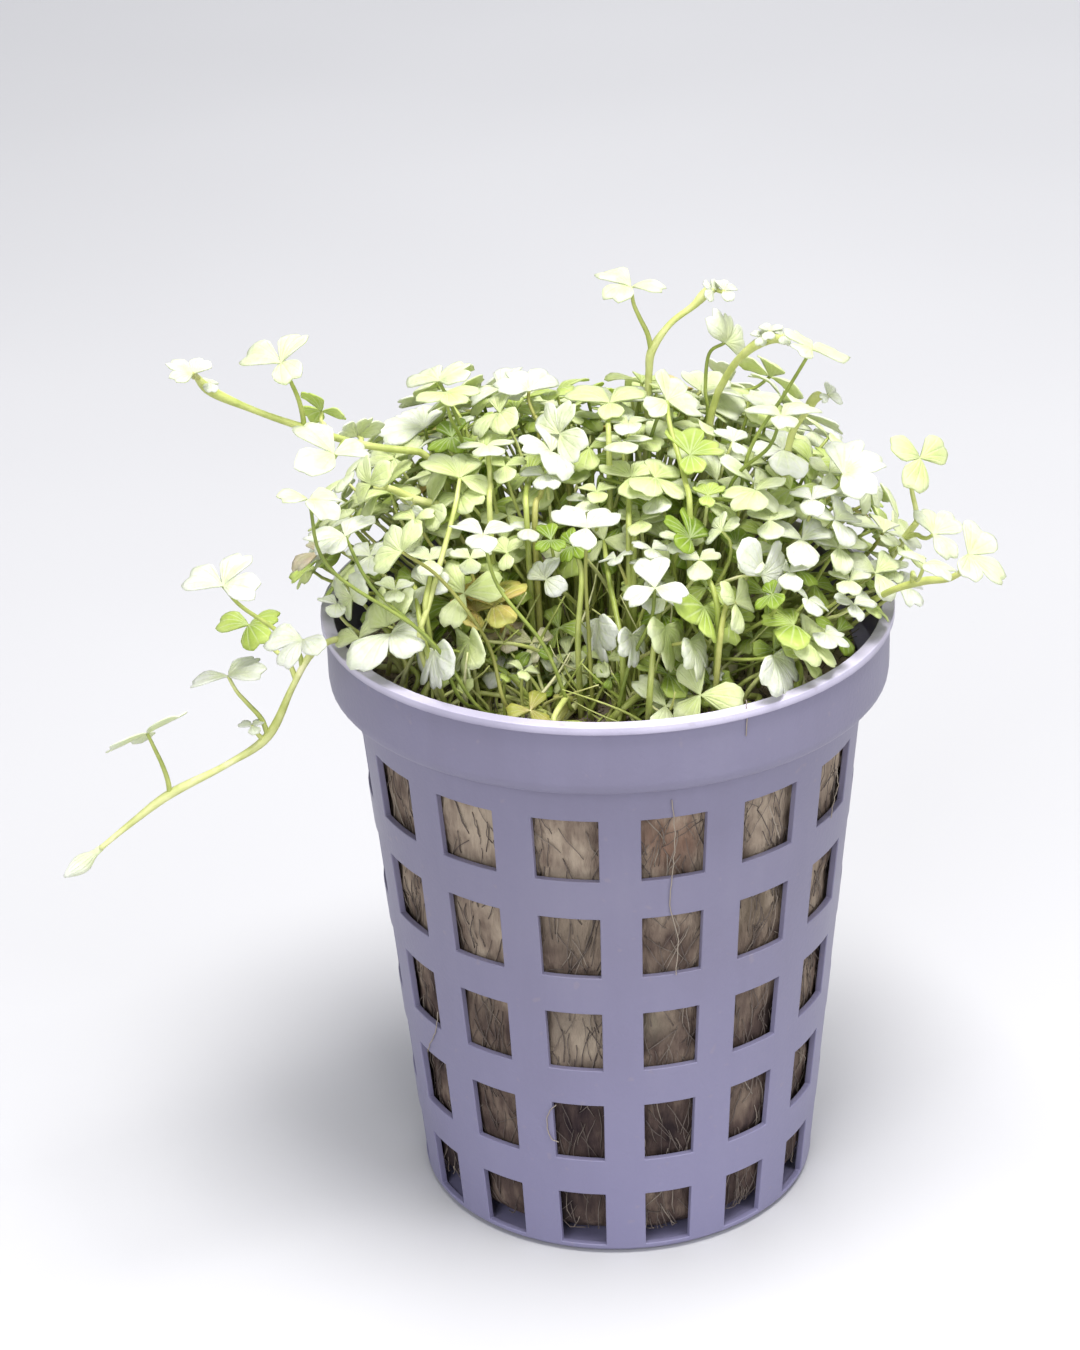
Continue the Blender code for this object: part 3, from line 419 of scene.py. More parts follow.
def in_order(lobes, normal, size):
    """The lobes anticlockwise about the normal, with lengths kept near a real lobe's."""
    side = lobes[0].normalized()
    other = normal.cross(side)
    kept = []
    for lobe in lobes:
        length = min(max(lobe.length, 0.8 * LOBE_LENGTH * size), 1.2 * LOBE_LENGTH * size)
        kept.append((math.atan2(lobe.dot(other), lobe.dot(side)) % math.tau, lobe.normalized() * length))
    return [lobe for _, lobe in sorted(kept, key=lambda pair: pair[0])]


def smooth_path(points, steps):
    """Points of a smooth curve through the given ones, steps to each span."""
    ends = [2 * points[0] - points[1]] + points + [2 * points[-1] - points[-2]]
    path = []
    for before, start, end, after in zip(ends, ends[1:], ends[2:], ends[3:]):
        for step in range(steps):
            t = step / steps
            path.append(0.5 * (2 * start + (end - before) * t
                               + (2 * before - 5 * start + 4 * end - after) * t ** 2
                               + (3 * start - before - 3 * end + after) * t ** 3))
    return path + [points[-1]]


def bezier(start, first, second, end, steps):
    """Points of a curve that leaves start towards first and reaches end from second."""
    line = []
    for t in evenly(0, 1, steps + 1):
        line.append((1 - t) ** 3 * start + 3 * t * (1 - t) ** 2 * first
                    + 3 * t * t * (1 - t) * second + t ** 3 * end)
    return line


def runner_line(runner, steps):
    """A runner's middle line and its radius at each of those points."""
    places = [at_depth(stop[:2], stop[2] * MM) for stop in runner.path]
    radii = [Vector((stop[3] * MM, 0, 0)) for stop in runner.path]
    return smooth_path(places, steps), [radius.x for radius in smooth_path(radii, steps)]


def nearest_runner_point(pixel):
    """The point of the runners' middle lines that shows nearest to a pixel."""
    best = None
    for runner in RUNNERS:
        for before, after in zip(runner.path, runner.path[1:]):
            for share in evenly(0, 1, 9):
                stop = [(1 - share) * a + share * b for a, b in zip(before, after)]
                away = math.hypot(stop[0] - pixel[0], stop[1] - pixel[1])
                if best is None or away < best[0]:
                    best = (away, at_depth(stop[:2], stop[2] * MM))
    return best[1]


def usual_foot(hub):
    """Roughly where the stalk of a leaf over the pot comes from: lower, and nearer to the pot's axis."""
    return Vector((0.8 * hub.x, 0.8 * hub.y, hub.z - 4 * MM))


def rockwool_top(x, y):
    """Height of the rockwool's uneven top."""
    return ROCKWOOL_TOP + ROCKWOOL_BUMP * noise.noise(Vector((x, y, 0)) / (4 * MM))


def on_rockwool(x, y, most=19.5 * MM):
    """The point of the rockwool's top under a place, kept inside the pot."""
    scale = min(1.0, most / max(math.hypot(x, y), MM))
    return Vector((x * scale, y * scale, rockwool_top(x * scale, y * scale) - 0.3 * MM))


def placed(name, data):
    """A new object in the scene."""
    thing = bpy.data.objects.new(name, data)
    bpy.context.scene.collection.objects.link(thing)
    return thing


class Batch:
    """Points, faces, one paint value for each point and one material number for each face."""

    def __init__(self):
        self.points = []
        self.faces = []
        self.paint = []
        self.numbers = []

    def add(self, points, faces, paint, number=0):
        start = len(self.points)
        self.points += points
        self.paint += paint
        self.faces += [tuple(start + corner for corner in face) for face in faces]
        self.numbers += [number] * len(faces)

    def made(self, name, materials, slot, replaced=()):
        """Makes one named piece of the batch, on the model's body."""
        data = bpy.data.meshes.new(name)
        data.from_pydata(self.points, [], self.faces)
        for material in materials:
            data.materials.append(material)
        data.polygons.foreach_set("material_index", self.numbers)
        paint = data.color_attributes.new("paint", "FLOAT_COLOR", "POINT")
        paint.data.foreach_set("color", [value for point in self.paint for value in point])
        data.update()
        data.shade_smooth()
        settled(placed(name, data), replaced)


def settled(piece, replaced=()):
    """Fastens a piece to the model's body and hides the solids that it stands for."""
    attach(piece, "root")
    if replaced:
        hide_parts(*replaced)


def ring_faces(rings, corners):
    """The four-sided faces between rings of points that follow each other."""
    faces = []
    for ring in range(rings - 1):
        for corner in range(corners):
            after = (corner + 1) % corners
            low, high = ring * corners, (ring + 1) * corners
            faces.append((low + corner, low + after, high + after, high + corner))
    return faces


def heading_at(line, index):
    """The direction of a line at one of its points."""
    return (line[min(index + 1, len(line) - 1)] - line[max(index - 1, 0)]).normalized()


def tube(batch, line, radii, sides, tone=0.5, number=0, seed=0.0):
    """A round tube along a line, closed at both ends."""
    points, paint = [], []
    side = (line[1] - line[0]).orthogonal().normalized()
    last = len(line) - 1
    for index, (point, radius) in enumerate(zip(line, radii)):
        heading = heading_at(line, index)
        side = (side - heading * side.dot(heading)).normalized()
        across = heading.cross(side)
        for corner in range(sides):
            angle = corner * math.tau / sides
            points.append(point + radius * (math.cos(angle) * side + math.sin(angle) * across))
            paint.append((index / last, corner / sides, tone, seed))
    faces = ring_faces(len(line), sides)
    for index, ring in ((0, 0), (last, last * sides)):
        centre = len(points)
        outward = (line[index] - line[1 if index == 0 else last - 1]).normalized()
        points.append(line[index] + outward * radii[index] * 0.5)
        paint.append((index / last, 0.5, tone, seed))
        for corner in range(sides):
            after = (corner + 1) % sides
            ends = (ring + after, ring + corner) if index == 0 else (ring + corner, ring + after)
            faces.append((*ends, centre))
    batch.add(points, faces, paint, number)


# Fine leaf blade: a fan of rays for each lobe, with rings from the hub out to its edge
BladeGrid = namedtuple("BladeGrid", "rays rings faces")


def blade_grid(rays, rings, webbed):
    """The faces of a blade with an upper and a lower side, and a rim between them.

    Neighbouring lobes are joined for the first few rings, counted by webbed.
    """
    def at(lobe, ray, ring):
        return 1 + (lobe % 3 * (rays + 1) + ray) * rings + ring - 1 if ring else 0

    upper = []
    strips = [((lobe, ray), (lobe, ray + 1), rings) for lobe in range(3) for ray in range(rays)]
    strips += [((lobe, rays), (lobe + 1, 0), webbed) for lobe in range(3)]
    for first, second, count in strips:
        upper.append((0, at(*first, 1), at(*second, 1)))
        for ring in range(1, count):
            upper.append((at(*first, ring), at(*first, ring + 1), at(*second, ring + 1), at(*second, ring)))
    below = 1 + 3 * (rays + 1) * rings
    edges = dict.fromkeys(pair for face in upper for pair in zip(face, face[1:] + face[:1]))
    rim = [(end, start, start + below, end + below) for start, end in edges if (end, start) not in edges]
    lower = [tuple(corner + below for corner in reversed(face)) for face in upper]
    return BladeGrid(rays, rings, upper + lower + rim)


FINE_GRID = blade_grid(14, 9, 2)
FILL_GRID = blade_grid(10, 6, 1)
SMALL_GRID = blade_grid(6, 4, 1)

Shape = namedtuple("Shape", "arch fold droop notch wave phase")


def random_shape(chance, bend=1.0):
    """How a leaf's lobes are bent and notched."""
    return Shape(bend * chance.uniform(0.05, 0.2), bend * chance.uniform(-0.1, 0.16),
                 bend * chance.uniform(-0.14, 0.05), chance.uniform(0.09, 0.19),
                 chance.uniform(0.012, 0.045), chance.uniform(0, math.tau))


LOBE_SPREAD = math.radians(43)
LOBE_WAIST = 0.16


def lobe_point(shape, ray, ring, index, width):
    """A point of a lobe as shares of its length: along it, across it and up from its plane.

    Rays fan out from the hub. The outline is rounded, with a notch at its end and a shallow one at each side.
    """
    edge = abs(ray)
    end = LOBE_WAIST + (1.02 - LOBE_WAIST) * max(math.cos(0.5 * math.pi * ray), 0.0) ** 0.46
    notches = shape.notch * math.exp(-(ray / 0.17) ** 2)
    notches += 0.3 * shape.notch * math.exp(-((edge - 0.5) / 0.11) ** 2)
    end -= notches
    end *= 1 + 0.03 * math.sin(3 * ray + shape.phase + 2 * index)
    out = ring * end
    turn = ray * LOBE_SPREAD * width
    up = shape.arch * 4 * out * (1 - out) * (1 - 0.3 * edge) + shape.fold * edge ** 1.6 * out
    up += shape.droop * out ** 2 * (1 - out) * 2
    up -= 0.04 * math.exp(-(ray / 0.12) ** 2) * out
    up += shape.wave * math.sin(5 * ray + 4 * out + shape.phase + index) * out
    return out * math.cos(turn), out * math.sin(turn), up


def blade(batch, grid, hub, normal, lobes, shape, tone, brown=0.0):
    """Adds a leaf blade with three notched lobes."""
    upper, paint = [hub.copy()], [(0.0, 0.5, tone, brown)]
    for index, lobe in enumerate(lobes):
        ahead = lobe.normalized()
        across = normal.cross(ahead)
        width = lobe_width(lobes, index)
        for ray in evenly(-1, 1, grid.rays + 1):
            for ring in range(1, grid.rings + 1):
                along, side, up = lobe_point(shape, ray, ring / grid.rings, index, width)
                upper.append(hub + lobe.length * (along * ahead + side * across + up * normal))
                paint.append((ring / grid.rings, 0.5 + 0.5 * ray, tone, brown))
    lower = [point - normal * BLADE_SHEET for point in upper]
    batch.add(upper + lower, grid.faces, paint + paint)


def lobe_width(lobes, index):
    """The share of its full width that a lobe has between its neighbours."""
    gaps = [lobes[index].angle(lobes[index - 1]), lobes[index].angle(lobes[(index + 1) % 3])]
    return min(1.0, 0.46 * min(gaps) / math.radians(30))


def spread_points(hub, normal, lobes):
    """A few points spread over a blade, for keeping leaves apart."""
    points = [hub]
    for lobe in lobes:
        across = normal.cross(lobe)
        for along in (0.3, 0.6, 0.95):
            for side in (-0.3, 0.0, 0.3):
                points.append(hub + along * lobe + min(0.5 * along, 1) * side * 1.4 * across)
    return points


class Room:
    """Which small cells of space the leaves take up."""

    CELL = 0.8 * MM
    REACH = 0.3 * MM
    MOST_TAKEN = 2

    def __init__(self):
        self.taken = set()
        self.hubs = []

    def cell(self, point):
        return tuple(math.floor(value / self.CELL) for value in point)

    def is_free(self, points):
        return sum(self.cell(point) in self.taken for point in points) <= self.MOST_TAKEN

    def take(self, points):
        """Take the cells round a blade's points, the first of which is its hub."""
        self.hubs.append(points[0])
        for point in points:
            for axis in range(3):
                for sign in (-1, 1):
                    near = point.copy()
                    near[axis] += sign * self.REACH
                    self.taken.add(self.cell(near))


PLACE_ERROR = 0.02 * MM


def corners_of(node):
    """The different corners of a solid of the model."""
    found = {tuple(round(value, 7) for value in corner.co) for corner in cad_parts[node].data.vertices}
    return [Vector(corner) for corner in sorted(found)]


def is_in_place(node, hub, normal, lobes):
    """Whether a blade's hub lies on the solid, and a corner of its first lobe is one of the solid's."""
    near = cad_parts[node].closest_point_on_mesh(hub)[1]
    if (near - hub).length > PLACE_ERROR:
        return False
    ahead = lobes[0].normalized()
    along, side = SOLID_CORNER
    corner = hub + lobes[0].length * (along * ahead + side * lobe_width(lobes, 0) * normal.cross(ahead))
    return min((corner - other).length for other in corners_of(node)) < PLACE_ERROR


def stalk_in_model(corners, hub, normal):
    """The middles of the rings that the solid's stalk is built from, from the blade down."""
    left = [corner for corner in corners if (hub - corner).dot(normal) > BLADE_THICKNESS + 0.05 * MM]
    stops = []
    while len(left) >= 3:
        last = max(left, key=lambda corner: (corner - hub).length)
        ring = sorted(left, key=lambda corner: (corner - last).length)[:3]
        left = [corner for corner in left if corner not in ring]
        stops.insert(0, (ring[0] + ring[1] + ring[2]) / 3)
    return stops


def stalk(batch, line, top_radius, foot_radius, tone, chance, sides=6, number=0):
    """A leaf stalk along a line from the hub down, a little thicker towards its foot."""
    count = len(line)
    radii = [top_radius + (foot_radius - top_radius) * index / (count - 1) for index in range(count)]
    tube(batch, line, radii, sides, tone, number, chance.random())


LONG_STALK = 11 * MM


def leaf_piece(spec, hub, normal, lobes, chance):
    """A fine leaf in the place of its solid, with its stalk down to its runner or the rockwool."""
    batch = Batch()
    blade(batch, FINE_GRID, hub, normal, lobes, random_shape(chance), spec.tone)
    stops = [hub - 0.05 * MM * normal] + stalk_in_model(corners_of(spec.name), hub, normal)
    if spec.foot:
        end = nearest_runner_point(spec.foot)
        line = smooth_path(stops + [end], 6)
    else:
        last = stops[-1]
        foot = on_rockwool(0.75 * last.x, 0.75 * last.y)
        line = smooth_path(stops + [last.lerp(foot, 0.5) + Vector((0, 0, -0.4 * MM)), foot], 6)
    is_long = sum((after - before).length for before, after in zip(line, line[1:])) > LONG_STALK
    # Painted shade: long stalks get a darker tone.
    tone = chance.uniform(0.05, 0.3) if is_long else chance.uniform(0.35, 0.7)
    stalk(batch, line, 0.15 * MM, 0.19 * MM if is_long else 0.25 * MM, tone, chance, 7, 1)
    batch.made(spec.name + "_fine", [LEAF, STEM], "leaf", [spec.name])


def model_leaves(room, chance):
    """The fine leaves that stand for the model's leaf solids."""
    for spec in MODEL_LEAVES:
        hub, normal, lobes = place_in_model(spec)
        room.take(spread_points(hub, normal, lobes))
        leaf_piece(spec, hub, normal, lobes, chance)


def place_in_model(spec):
    """The hub, normal and lobes that the model's solid of that name was built with."""
    start = on_crown(spec.hub) if spec.depth is None else at_depth(spec.hub, spec.depth * MM)
    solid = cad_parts[spec.name]
    for shift in SHIFTS:
        hub = at_depth(spec.hub, start.y + shift)
        if (solid.closest_point_on_mesh(hub)[1] - hub).length > PLACE_ERROR:
            continue
        foot = nearest_runner_point(spec.foot) if spec.foot else usual_foot(hub)
        normal, lobes = blade_pose(hub, spec.tips, spec.size, foot)
        if is_in_place(spec.name, hub, normal, lobes):
            return hub, normal, lobes
    raise ValueError("no place found for " + spec.name)


def back_leaves(room, chance):
    """The fine leaves on the crown's far side, where the model has its own."""
    draw = random.Random(7)
    found = 0
    while found < BACK_LEAF_COUNT:
        around = draw.uniform(*BACK_ARC)
        out = draw.uniform(0.55, 0.98)
        x, y = crown_place(around, out)
        hub = Vector((x, y, crown_height(x, y) + draw.uniform(0, 2) * MM))
        normal = Vector((x, y, draw.uniform(14, 30) * MM)).normalized()
        side = normal.orthogonal().normalized()
        turn = draw.uniform(0, math.tau)
        if view_height(hub) > BACK_TOP:
            continue
        name = f"leaf_back_{found + 1:02d}"
        lobes = turned_lobes(normal, side, turn, LOBE_LENGTH)
        if not is_in_place(name, hub, normal, lobes):
            continue
        found += 1
        room.take(spread_points(hub, normal, lobes))
        spec = Leaf(name, None, None, tone=chance.choice([PALE, BRIGHT, WHITE]))
        leaf_piece(spec, hub, normal, lobes, chance)


def turned_lobes(normal, side, turn, length):
    """Three even lobes about a normal."""
    lobes = []
    for third in range(3):
        angle = turn + third * math.tau / 3
        lobes.append((side * math.cos(angle) + normal.cross(side) * math.sin(angle)) * length)
    return lobes


def crown_stalk(batch, hub, normal, chance):
    """A stalk from a blade over the pot down into the rockwool."""
    inward = chance.uniform(0.45, 0.85)
    turn = chance.uniform(-0.35, 0.35)
    x = inward * (hub.x * math.cos(turn) - hub.y * math.sin(turn))
    y = inward * (hub.x * math.sin(turn) + hub.y * math.cos(turn))
    foot = on_rockwool(x, y)
    reach = (hub - foot).length
    lean = Vector((chance.uniform(-0.15, 0.15), chance.uniform(-0.15, 0.15), 0.45)) * reach
    line = bezier(hub - 0.05 * MM * normal, hub - normal * 0.3 * reach, foot + lean, foot, 12)
    stalk(batch, line, 0.14 * MM, 0.24 * MM, chance.uniform(0.35, 0.85), chance)


# A leaf of usual size reaches this many pixels from its hub
LEAF_PIXELS = 30
NEAR_SHIFTS = 21


def crown_fill(room, chance):
    """The photograph's other leaves of the crown, as one piece. Returns the batch that holds their stalks."""
    blades, stalks = Batch(), Batch()
    specs = [(hub, tips, tone, 0.0) for hub, tips, tone in CROWN_FILL]
    specs += [(hub, tips, YELLOW_GREEN, 0.75) for hub, tips in BROWNING_LEAVES]
    for hub_pixel, tips, tone, brown in specs:
        start = on_crown(hub_pixel)
        reach = max(math.hypot(tip[0] - hub_pixel[0], tip[1] - hub_pixel[1]) for tip in tips)
        size = min(max(reach / LEAF_PIXELS, 0.6), 1.15)
        normal, lobes = blade_pose(start, tips, size, usual_foot(start))
        hub = start
        for shift in SHIFTS[:NEAR_SHIFTS]:
            tried = at_depth(hub_pixel, start.y + shift)
            if room.is_free(spread_points(tried, normal, lobes)):
                hub = tried
                break
        room.take(spread_points(hub, normal, lobes))
        blade(blades, FILL_GRID, hub, normal, lobes, random_shape(chance), tone, brown)
        crown_stalk(stalks, hub, normal, chance)
    blades.made("crown_leaves", [LEAF], "leaf")
    return stalks


HUB_REACH = 6 * MM


def front_stalks(room, stalks, chance):
    """The stalks that show in front of the crown, each from a leaf above it down to the rockwool."""
    for pixels in FRONT_STALKS:
        places = []
        for index, pixel in enumerate(pixels):
            place = on_crown(pixel)
            places.append(at_depth(pixel, place.y - 0.6 * MM + 0.2 * MM * index))
        places.append(on_rockwool(0.95 * places[-1].x, 0.95 * places[-1].y))
        top = places[0]
        hub = min(room.hubs, key=lambda other: (other - top).length + 3 * abs((other - top).dot(RIGHT)))
        if (hub - top).length < HUB_REACH:
            places[0] = hub - Vector((0, 0, 0.1 * MM))
            places[1] = places[1].lerp(places[0], 0.35)
        stalk(stalks, smooth_path(places, 6), 0.2 * MM, 0.3 * MM, chance.uniform(0.4, 0.75), chance)


FILL_COUNT = 270
HOLLOW_CLEAR = 8.5 * MM
BACK_LIMIT = 21.3 * MM
FILL_TOP = 69.2 * MM


def random_fill(room, stalks, chance):
    """Leaves all round the crown and under it, greener the deeper they stand."""
    blades = Batch()
    made = 0
    for _ in range(6000):
        if made == FILL_COUNT:
            break
        around = chance.uniform(0, math.tau)
        out = math.sqrt(chance.uniform(0.0, 1.0))
        x, y = crown_place(around, out)
        depth = chance.uniform(0.0, 8.0) * MM * (1 if y < 4 * MM else chance.uniform(0.2, 1))
        hub = Vector((x, y, crown_height(x, y) - depth))
        in_hollow = math.hypot(x - HOLLOW_CENTRE[0], y - HOLLOW_CENTRE[1]) < HOLLOW_CLEAR
        too_high = view_height(hub) > FILL_TOP
        over_rim = math.hypot(x, y) > 22.0 * MM and hub.z < POT_HEIGHT + 2 * MM
        if in_hollow or over_rim or too_high or hub.z < ROCKWOOL_TOP + 3 * MM or y > BACK_LIMIT:
            continue
        size = chance.uniform(0.72, 1.1) * (1 - 0.25 * depth / (8 * MM))
        lean = Vector((x, y, chance.uniform(14, 40) * MM)).normalized()
        normal = (lean + 0.35 * Vector((chance.uniform(-1, 1), chance.uniform(-1, 1), 0))).normalized()
        side = normal.orthogonal().normalized()
        lobes = turned_lobes(normal, side, chance.uniform(0, math.tau), LOBE_LENGTH * size)
        lobes = [lobe * chance.uniform(0.9, 1.1) for lobe in lobes]
        points = spread_points(hub, normal, lobes)
        if not room.is_free(points):
            continue
        room.take(points)
        made += 1
        deep = depth / (8 * MM)
        # Painted shade: the deeper a leaf stands under the crown, the darker green its tone.
        tone = min(max(chance.uniform(0.62, 1.05) - 0.60 * deep, GREEN), WHITE)
        brown = chance.uniform(0.3, 0.9) if chance.random() < 0.04 else 0.0
        grid = FILL_GRID if deep < 0.5 else SMALL_GRID
        blade(blades, grid, hub, normal, lobes, random_shape(chance, 1.2), tone, brown)
        crown_stalk(stalks, hub, normal, chance)
    blades.made("under_leaves", [LEAF], "leaf")


HOLLOW_STEMS = 130
HOLLOW_LEAVES = 44
CREEPING_STEMS = 60
STEM_LINE_STEPS = 9


def thicket(stalks, chance):
    """Bare and creeping stems over the rockwool, thickest in the hollow at the front."""
    for _ in range(HOLLOW_STEMS):
        x = HOLLOW_CENTRE[0] + chance.gauss(1.5, 8.0) * MM
        y = HOLLOW_CENTRE[1] + chance.gauss(4.0, 4.5) * MM
        foot = on_rockwool(x, y, 20.8 * MM)
        height = min(crown_height(foot.x, foot.y) - foot.z, 12 * MM) * chance.uniform(0.3, 1.0)
        top = foot + Vector((chance.gauss(0, 3.6) * MM, chance.gauss(-0.3, 2.6) * MM, max(height, 1.5 * MM)))
        if math.hypot(top.x, top.y) > 22.5 * MM:
            continue
        middle = foot.lerp(top, 0.5) + Vector((chance.gauss(0, 1.3), chance.gauss(0, 1.3), 0)) * MM
        line = bezier(top, middle, foot + Vector((0, 0, 0.4 * height)), foot, STEM_LINE_STEPS)
        thick = chance.uniform(0.14, 0.30) * MM
        stalk(stalks, line, 0.25 * thick, thick, chance.uniform(0.3, 1.0), chance)
    for _ in range(CREEPING_STEMS):
        around = chance.uniform(-math.pi, 0) if chance.random() < 0.7 else chance.uniform(0, math.pi)
        out = 20.5 * MM * math.sqrt(chance.uniform(0.15, 1))
        centre = polar(out, around)
        heading = chance.uniform(0, math.tau)
        reach = chance.uniform(2.5, 6) * MM
        level = chance.uniform(0.5, 3.6) * MM
        places = []
        for share in evenly(-1, 1, 5):
            x = centre.x + share * reach * math.cos(heading) + chance.gauss(0, 0.6) * MM
            y = centre.y + share * reach * math.sin(heading) + chance.gauss(0, 0.6) * MM
            place = on_rockwool(x, y, 21.2 * MM)
            places.append(place + Vector((0, 0, level * (1 - 0.8 * share * share))))
        thick = chance.uniform(0.2, 0.34) * MM
        line = smooth_path(places, 5)
        tube(stalks, line, [thick] * len(line), 7, chance.uniform(0.3, 0.9), 0, chance.random())
    stalks.made("stems", [STEM], "stem", ["stem_thicket"])


def hollow_leaves(stalks, chance):
    """Small shaded leaves among the stems of the hollow."""
    blades = Batch()
    for _ in range(HOLLOW_LEAVES):
        x = HOLLOW_CENTRE[0] + chance.gauss(1.5, 7.5) * MM
        y = HOLLOW_CENTRE[1] + chance.gauss(3.5, 3.5) * MM
        foot = on_rockwool(x, y, 20.5 * MM)
        hub = foot + Vector((chance.gauss(0, 1), chance.gauss(0, 1), chance.uniform(1.5, 6.5))) * MM
        if math.hypot(hub.x, hub.y) > 21.0 * MM:
            continue
        normal = Vector((chance.gauss(0, 0.5), chance.gauss(-0.5, 0.4), 1)).normalized()
        length = LOBE_LENGTH * chance.uniform(0.3, 0.62)
        lobes = turned_lobes(normal, normal.orthogonal().normalized(), chance.uniform(0, math.tau), length)
        tone = chance.choice([GREEN, YELLOW_GREEN, PALE, BRIGHT, WHITE])
        brown = chance.uniform(0.3, 0.8) if chance.random() < 0.2 else 0.0
        blade(blades, SMALL_GRID, hub, normal, lobes, random_shape(chance, 1.5), tone, brown)
        stalk(stalks, bezier(hub, hub - normal * MM, foot.lerp(hub, 0.4), foot, 7), 0.12 * MM, 0.2 * MM,
              chance.uniform(0.3, 0.9), chance, 5)
    blades.made("hollow_leaves", [LEAF], "leaf")


YOUNG_SIZE = 0.4
RUNNER_SHARE = 0.85
RUNNER_THICKEST = 0.45 * MM


def runners(chance):
    """The creeping stems that reach out of the crown, with their joints and young leaves."""
    for runner in RUNNERS:
        batch = Batch()
        line, radii = runner_line(runner, 8)
        radii = [min(RUNNER_SHARE * radius, RUNNER_THICKEST) for radius in radii]
        start = line[0]
        foot = on_rockwool(0.8 * start.x, 0.8 * start.y)
        back = (start - line[3]).normalized() * min(0.5 * (start - foot).length, 4 * MM)
        inner = bezier(start, start + back, foot + Vector((0, 0, 2 * MM)), foot, 8)[1:]
        materials = [STEM]
        if runner.name == "runner_low_left":
            bract(batch, line[-BRACT_RINGS:])
            line, radii = line[:1 - BRACT_RINGS], radii[:1 - BRACT_RINGS]
            materials.append(LEAF)
        line = inner[::-1] + line
        radii = [radii[0]] * len(inner) + radii
        tube(batch, line, radii, 10, chance.uniform(0.5, 0.8), 0, chance.random())
        batch.made(runner.name + "_fine", materials, "stem", [runner.name])
    batch = Batch()
    for hub_pixel, tips, depth, foot_pixel in YOUNG_LEAVES:
        hub = at_depth(hub_pixel, depth * MM)
        foot = nearest_runner_point(foot_pixel)
        normal, lobes = blade_pose(hub, tips, YOUNG_SIZE, foot)
        # The young leaves' whitest tone is partly their own paleness and partly painted light.
        blade(batch, FILL_GRID, hub, normal, lobes, random_shape(chance, 1.6), WHITE)
        line = bezier(hub, hub.lerp(foot, 0.3) - 0.3 * MM * normal, foot.lerp(hub, 0.3), foot, 6)
        stalk(batch, line, 0.16 * MM, 0.24 * MM, 0.7, chance, 6, 1)
    batch.made("young_leaves", [LEAF, STEM], "leaf")


BRACT_SIDES = 12
BRACT_HALF_WIDTHS = (0.28, 0.3, 0.42, 0.62, 0.78, 0.80, 0.66, 0.4, 0.12)
BRACT_RINGS = 17


def bract(batch, line):
    """The pale folded leaf at the low runner's end: a strip that opens and closes along a line."""
    points, paint = [], []
    last = len(line) - 1
    side = (line[-1] - line[0]).cross(FORWARD).normalized()
    for index, point in enumerate(line):
        share = index / last * (len(BRACT_HALF_WIDTHS) - 1)
        low = min(int(share), len(BRACT_HALF_WIDTHS) - 2)
        half = BRACT_HALF_WIDTHS[low] + (share - low) * (BRACT_HALF_WIDTHS[low + 1] - BRACT_HALF_WIDTHS[low])
        heading = heading_at(line, index)
        over = side.cross(heading).normalized()
        for corner in range(BRACT_SIDES):
            angle = corner * math.tau / BRACT_SIDES
            fold = 0.25 * abs(math.cos(angle))
            lift = 0.28 * math.sin(angle) * min(1.0, 0.45 / half)
            points.append(point + half * MM * (math.cos(angle) * side + (lift + fold) * over))
            paint.append((index / last, 0.5 + 0.5 * math.cos(angle), 0.97, 0.0))
    faces = ring_faces(len(line), BRACT_SIDES)
    faces.append(tuple(range(BRACT_SIDES))[::-1])
    faces.append(tuple(last * BRACT_SIDES + corner for corner in range(BRACT_SIDES)))
    batch.add(points, faces, paint, 1)


def wall_radius(z):
    """Outer radius of the pot's wall at a height."""
    return BASE_RADIUS + WALL_SLOPE * z


# The holed wall is moulded thinner than the pot's floor and collar
HOLED_WALL = 0.6 * MM
POT_EDGE_ROUNDING = 0.22 * MM

# The curve under the collar: shares of its step out from the wall, and millimetres above its bottom
COLLAR_CURVE = [(0.0, -0.3), (0.12, -0.1), (0.45, 0.02), (0.8, 0.3), (0.96, 0.75)]

# Corners of the pot's rings for each column: across the hole, and one in the middle of the rib
HOLE_CORNERS = 5
COLUMN_CORNERS = HOLE_CORNERS + 1


def column_ring(mesh, radius, z):
    """A ring of the pot, with corners across each hole and one in each rib."""
    half_hole = math.pi / HOLE_COLUMNS - RIB_WIDTH / 2 / wall_radius(z)
    ring = []
    for column in range(HOLE_COLUMNS):
        centre = FIRST_COLUMN_ANGLE + column * math.tau / HOLE_COLUMNS
        angles = [centre + share * half_hole for share in evenly(-1, 1, HOLE_CORNERS)]
        angles.append(centre + math.pi / HOLE_COLUMNS)
        for angle in angles:
            ring.append(mesh.verts.new((radius * math.sin(angle), -radius * math.cos(angle), z)))
    return ring


def hole_levels():
    """Heights of the holes' lower and upper edges, from the lowest row up."""
    levels = []
    for row in reversed(range(HOLE_ROWS)):
        top = TOP_HOLE_TOP - row * ROW_PITCH
        levels += [max(top - HOLE_HEIGHT, LOWEST_HOLE_EDGE), top]
    return levels


def band(mesh, lower, upper, open_at_holes=False):
    """The faces between two rings of the pot, leaving out those across each hole if it is open."""
    for index in range(len(lower)):
        if open_at_holes and index % COLUMN_CORNERS < HOLE_CORNERS - 1:
            continue
        after = (index + 1) % len(lower)
        mesh.faces.new((lower[index], lower[after], upper[after], upper[index]))


def hole_walls(mesh, outer_low, outer_high, inner_low, inner_high):
    """The four sides of every hole in a row."""
    for first in range(0, len(outer_low), COLUMN_CORNERS):
        for outer, inner in ((outer_low, inner_low), (outer_high, inner_high)):
            for index in range(first, first + HOLE_CORNERS - 1):
                mesh.faces.new((outer[index], outer[index + 1], inner[index + 1], inner[index]))
        for index in (first, first + HOLE_CORNERS - 1):
            mesh.faces.new((outer_low[index], outer_high[index], inner_high[index], inner_low[index]))


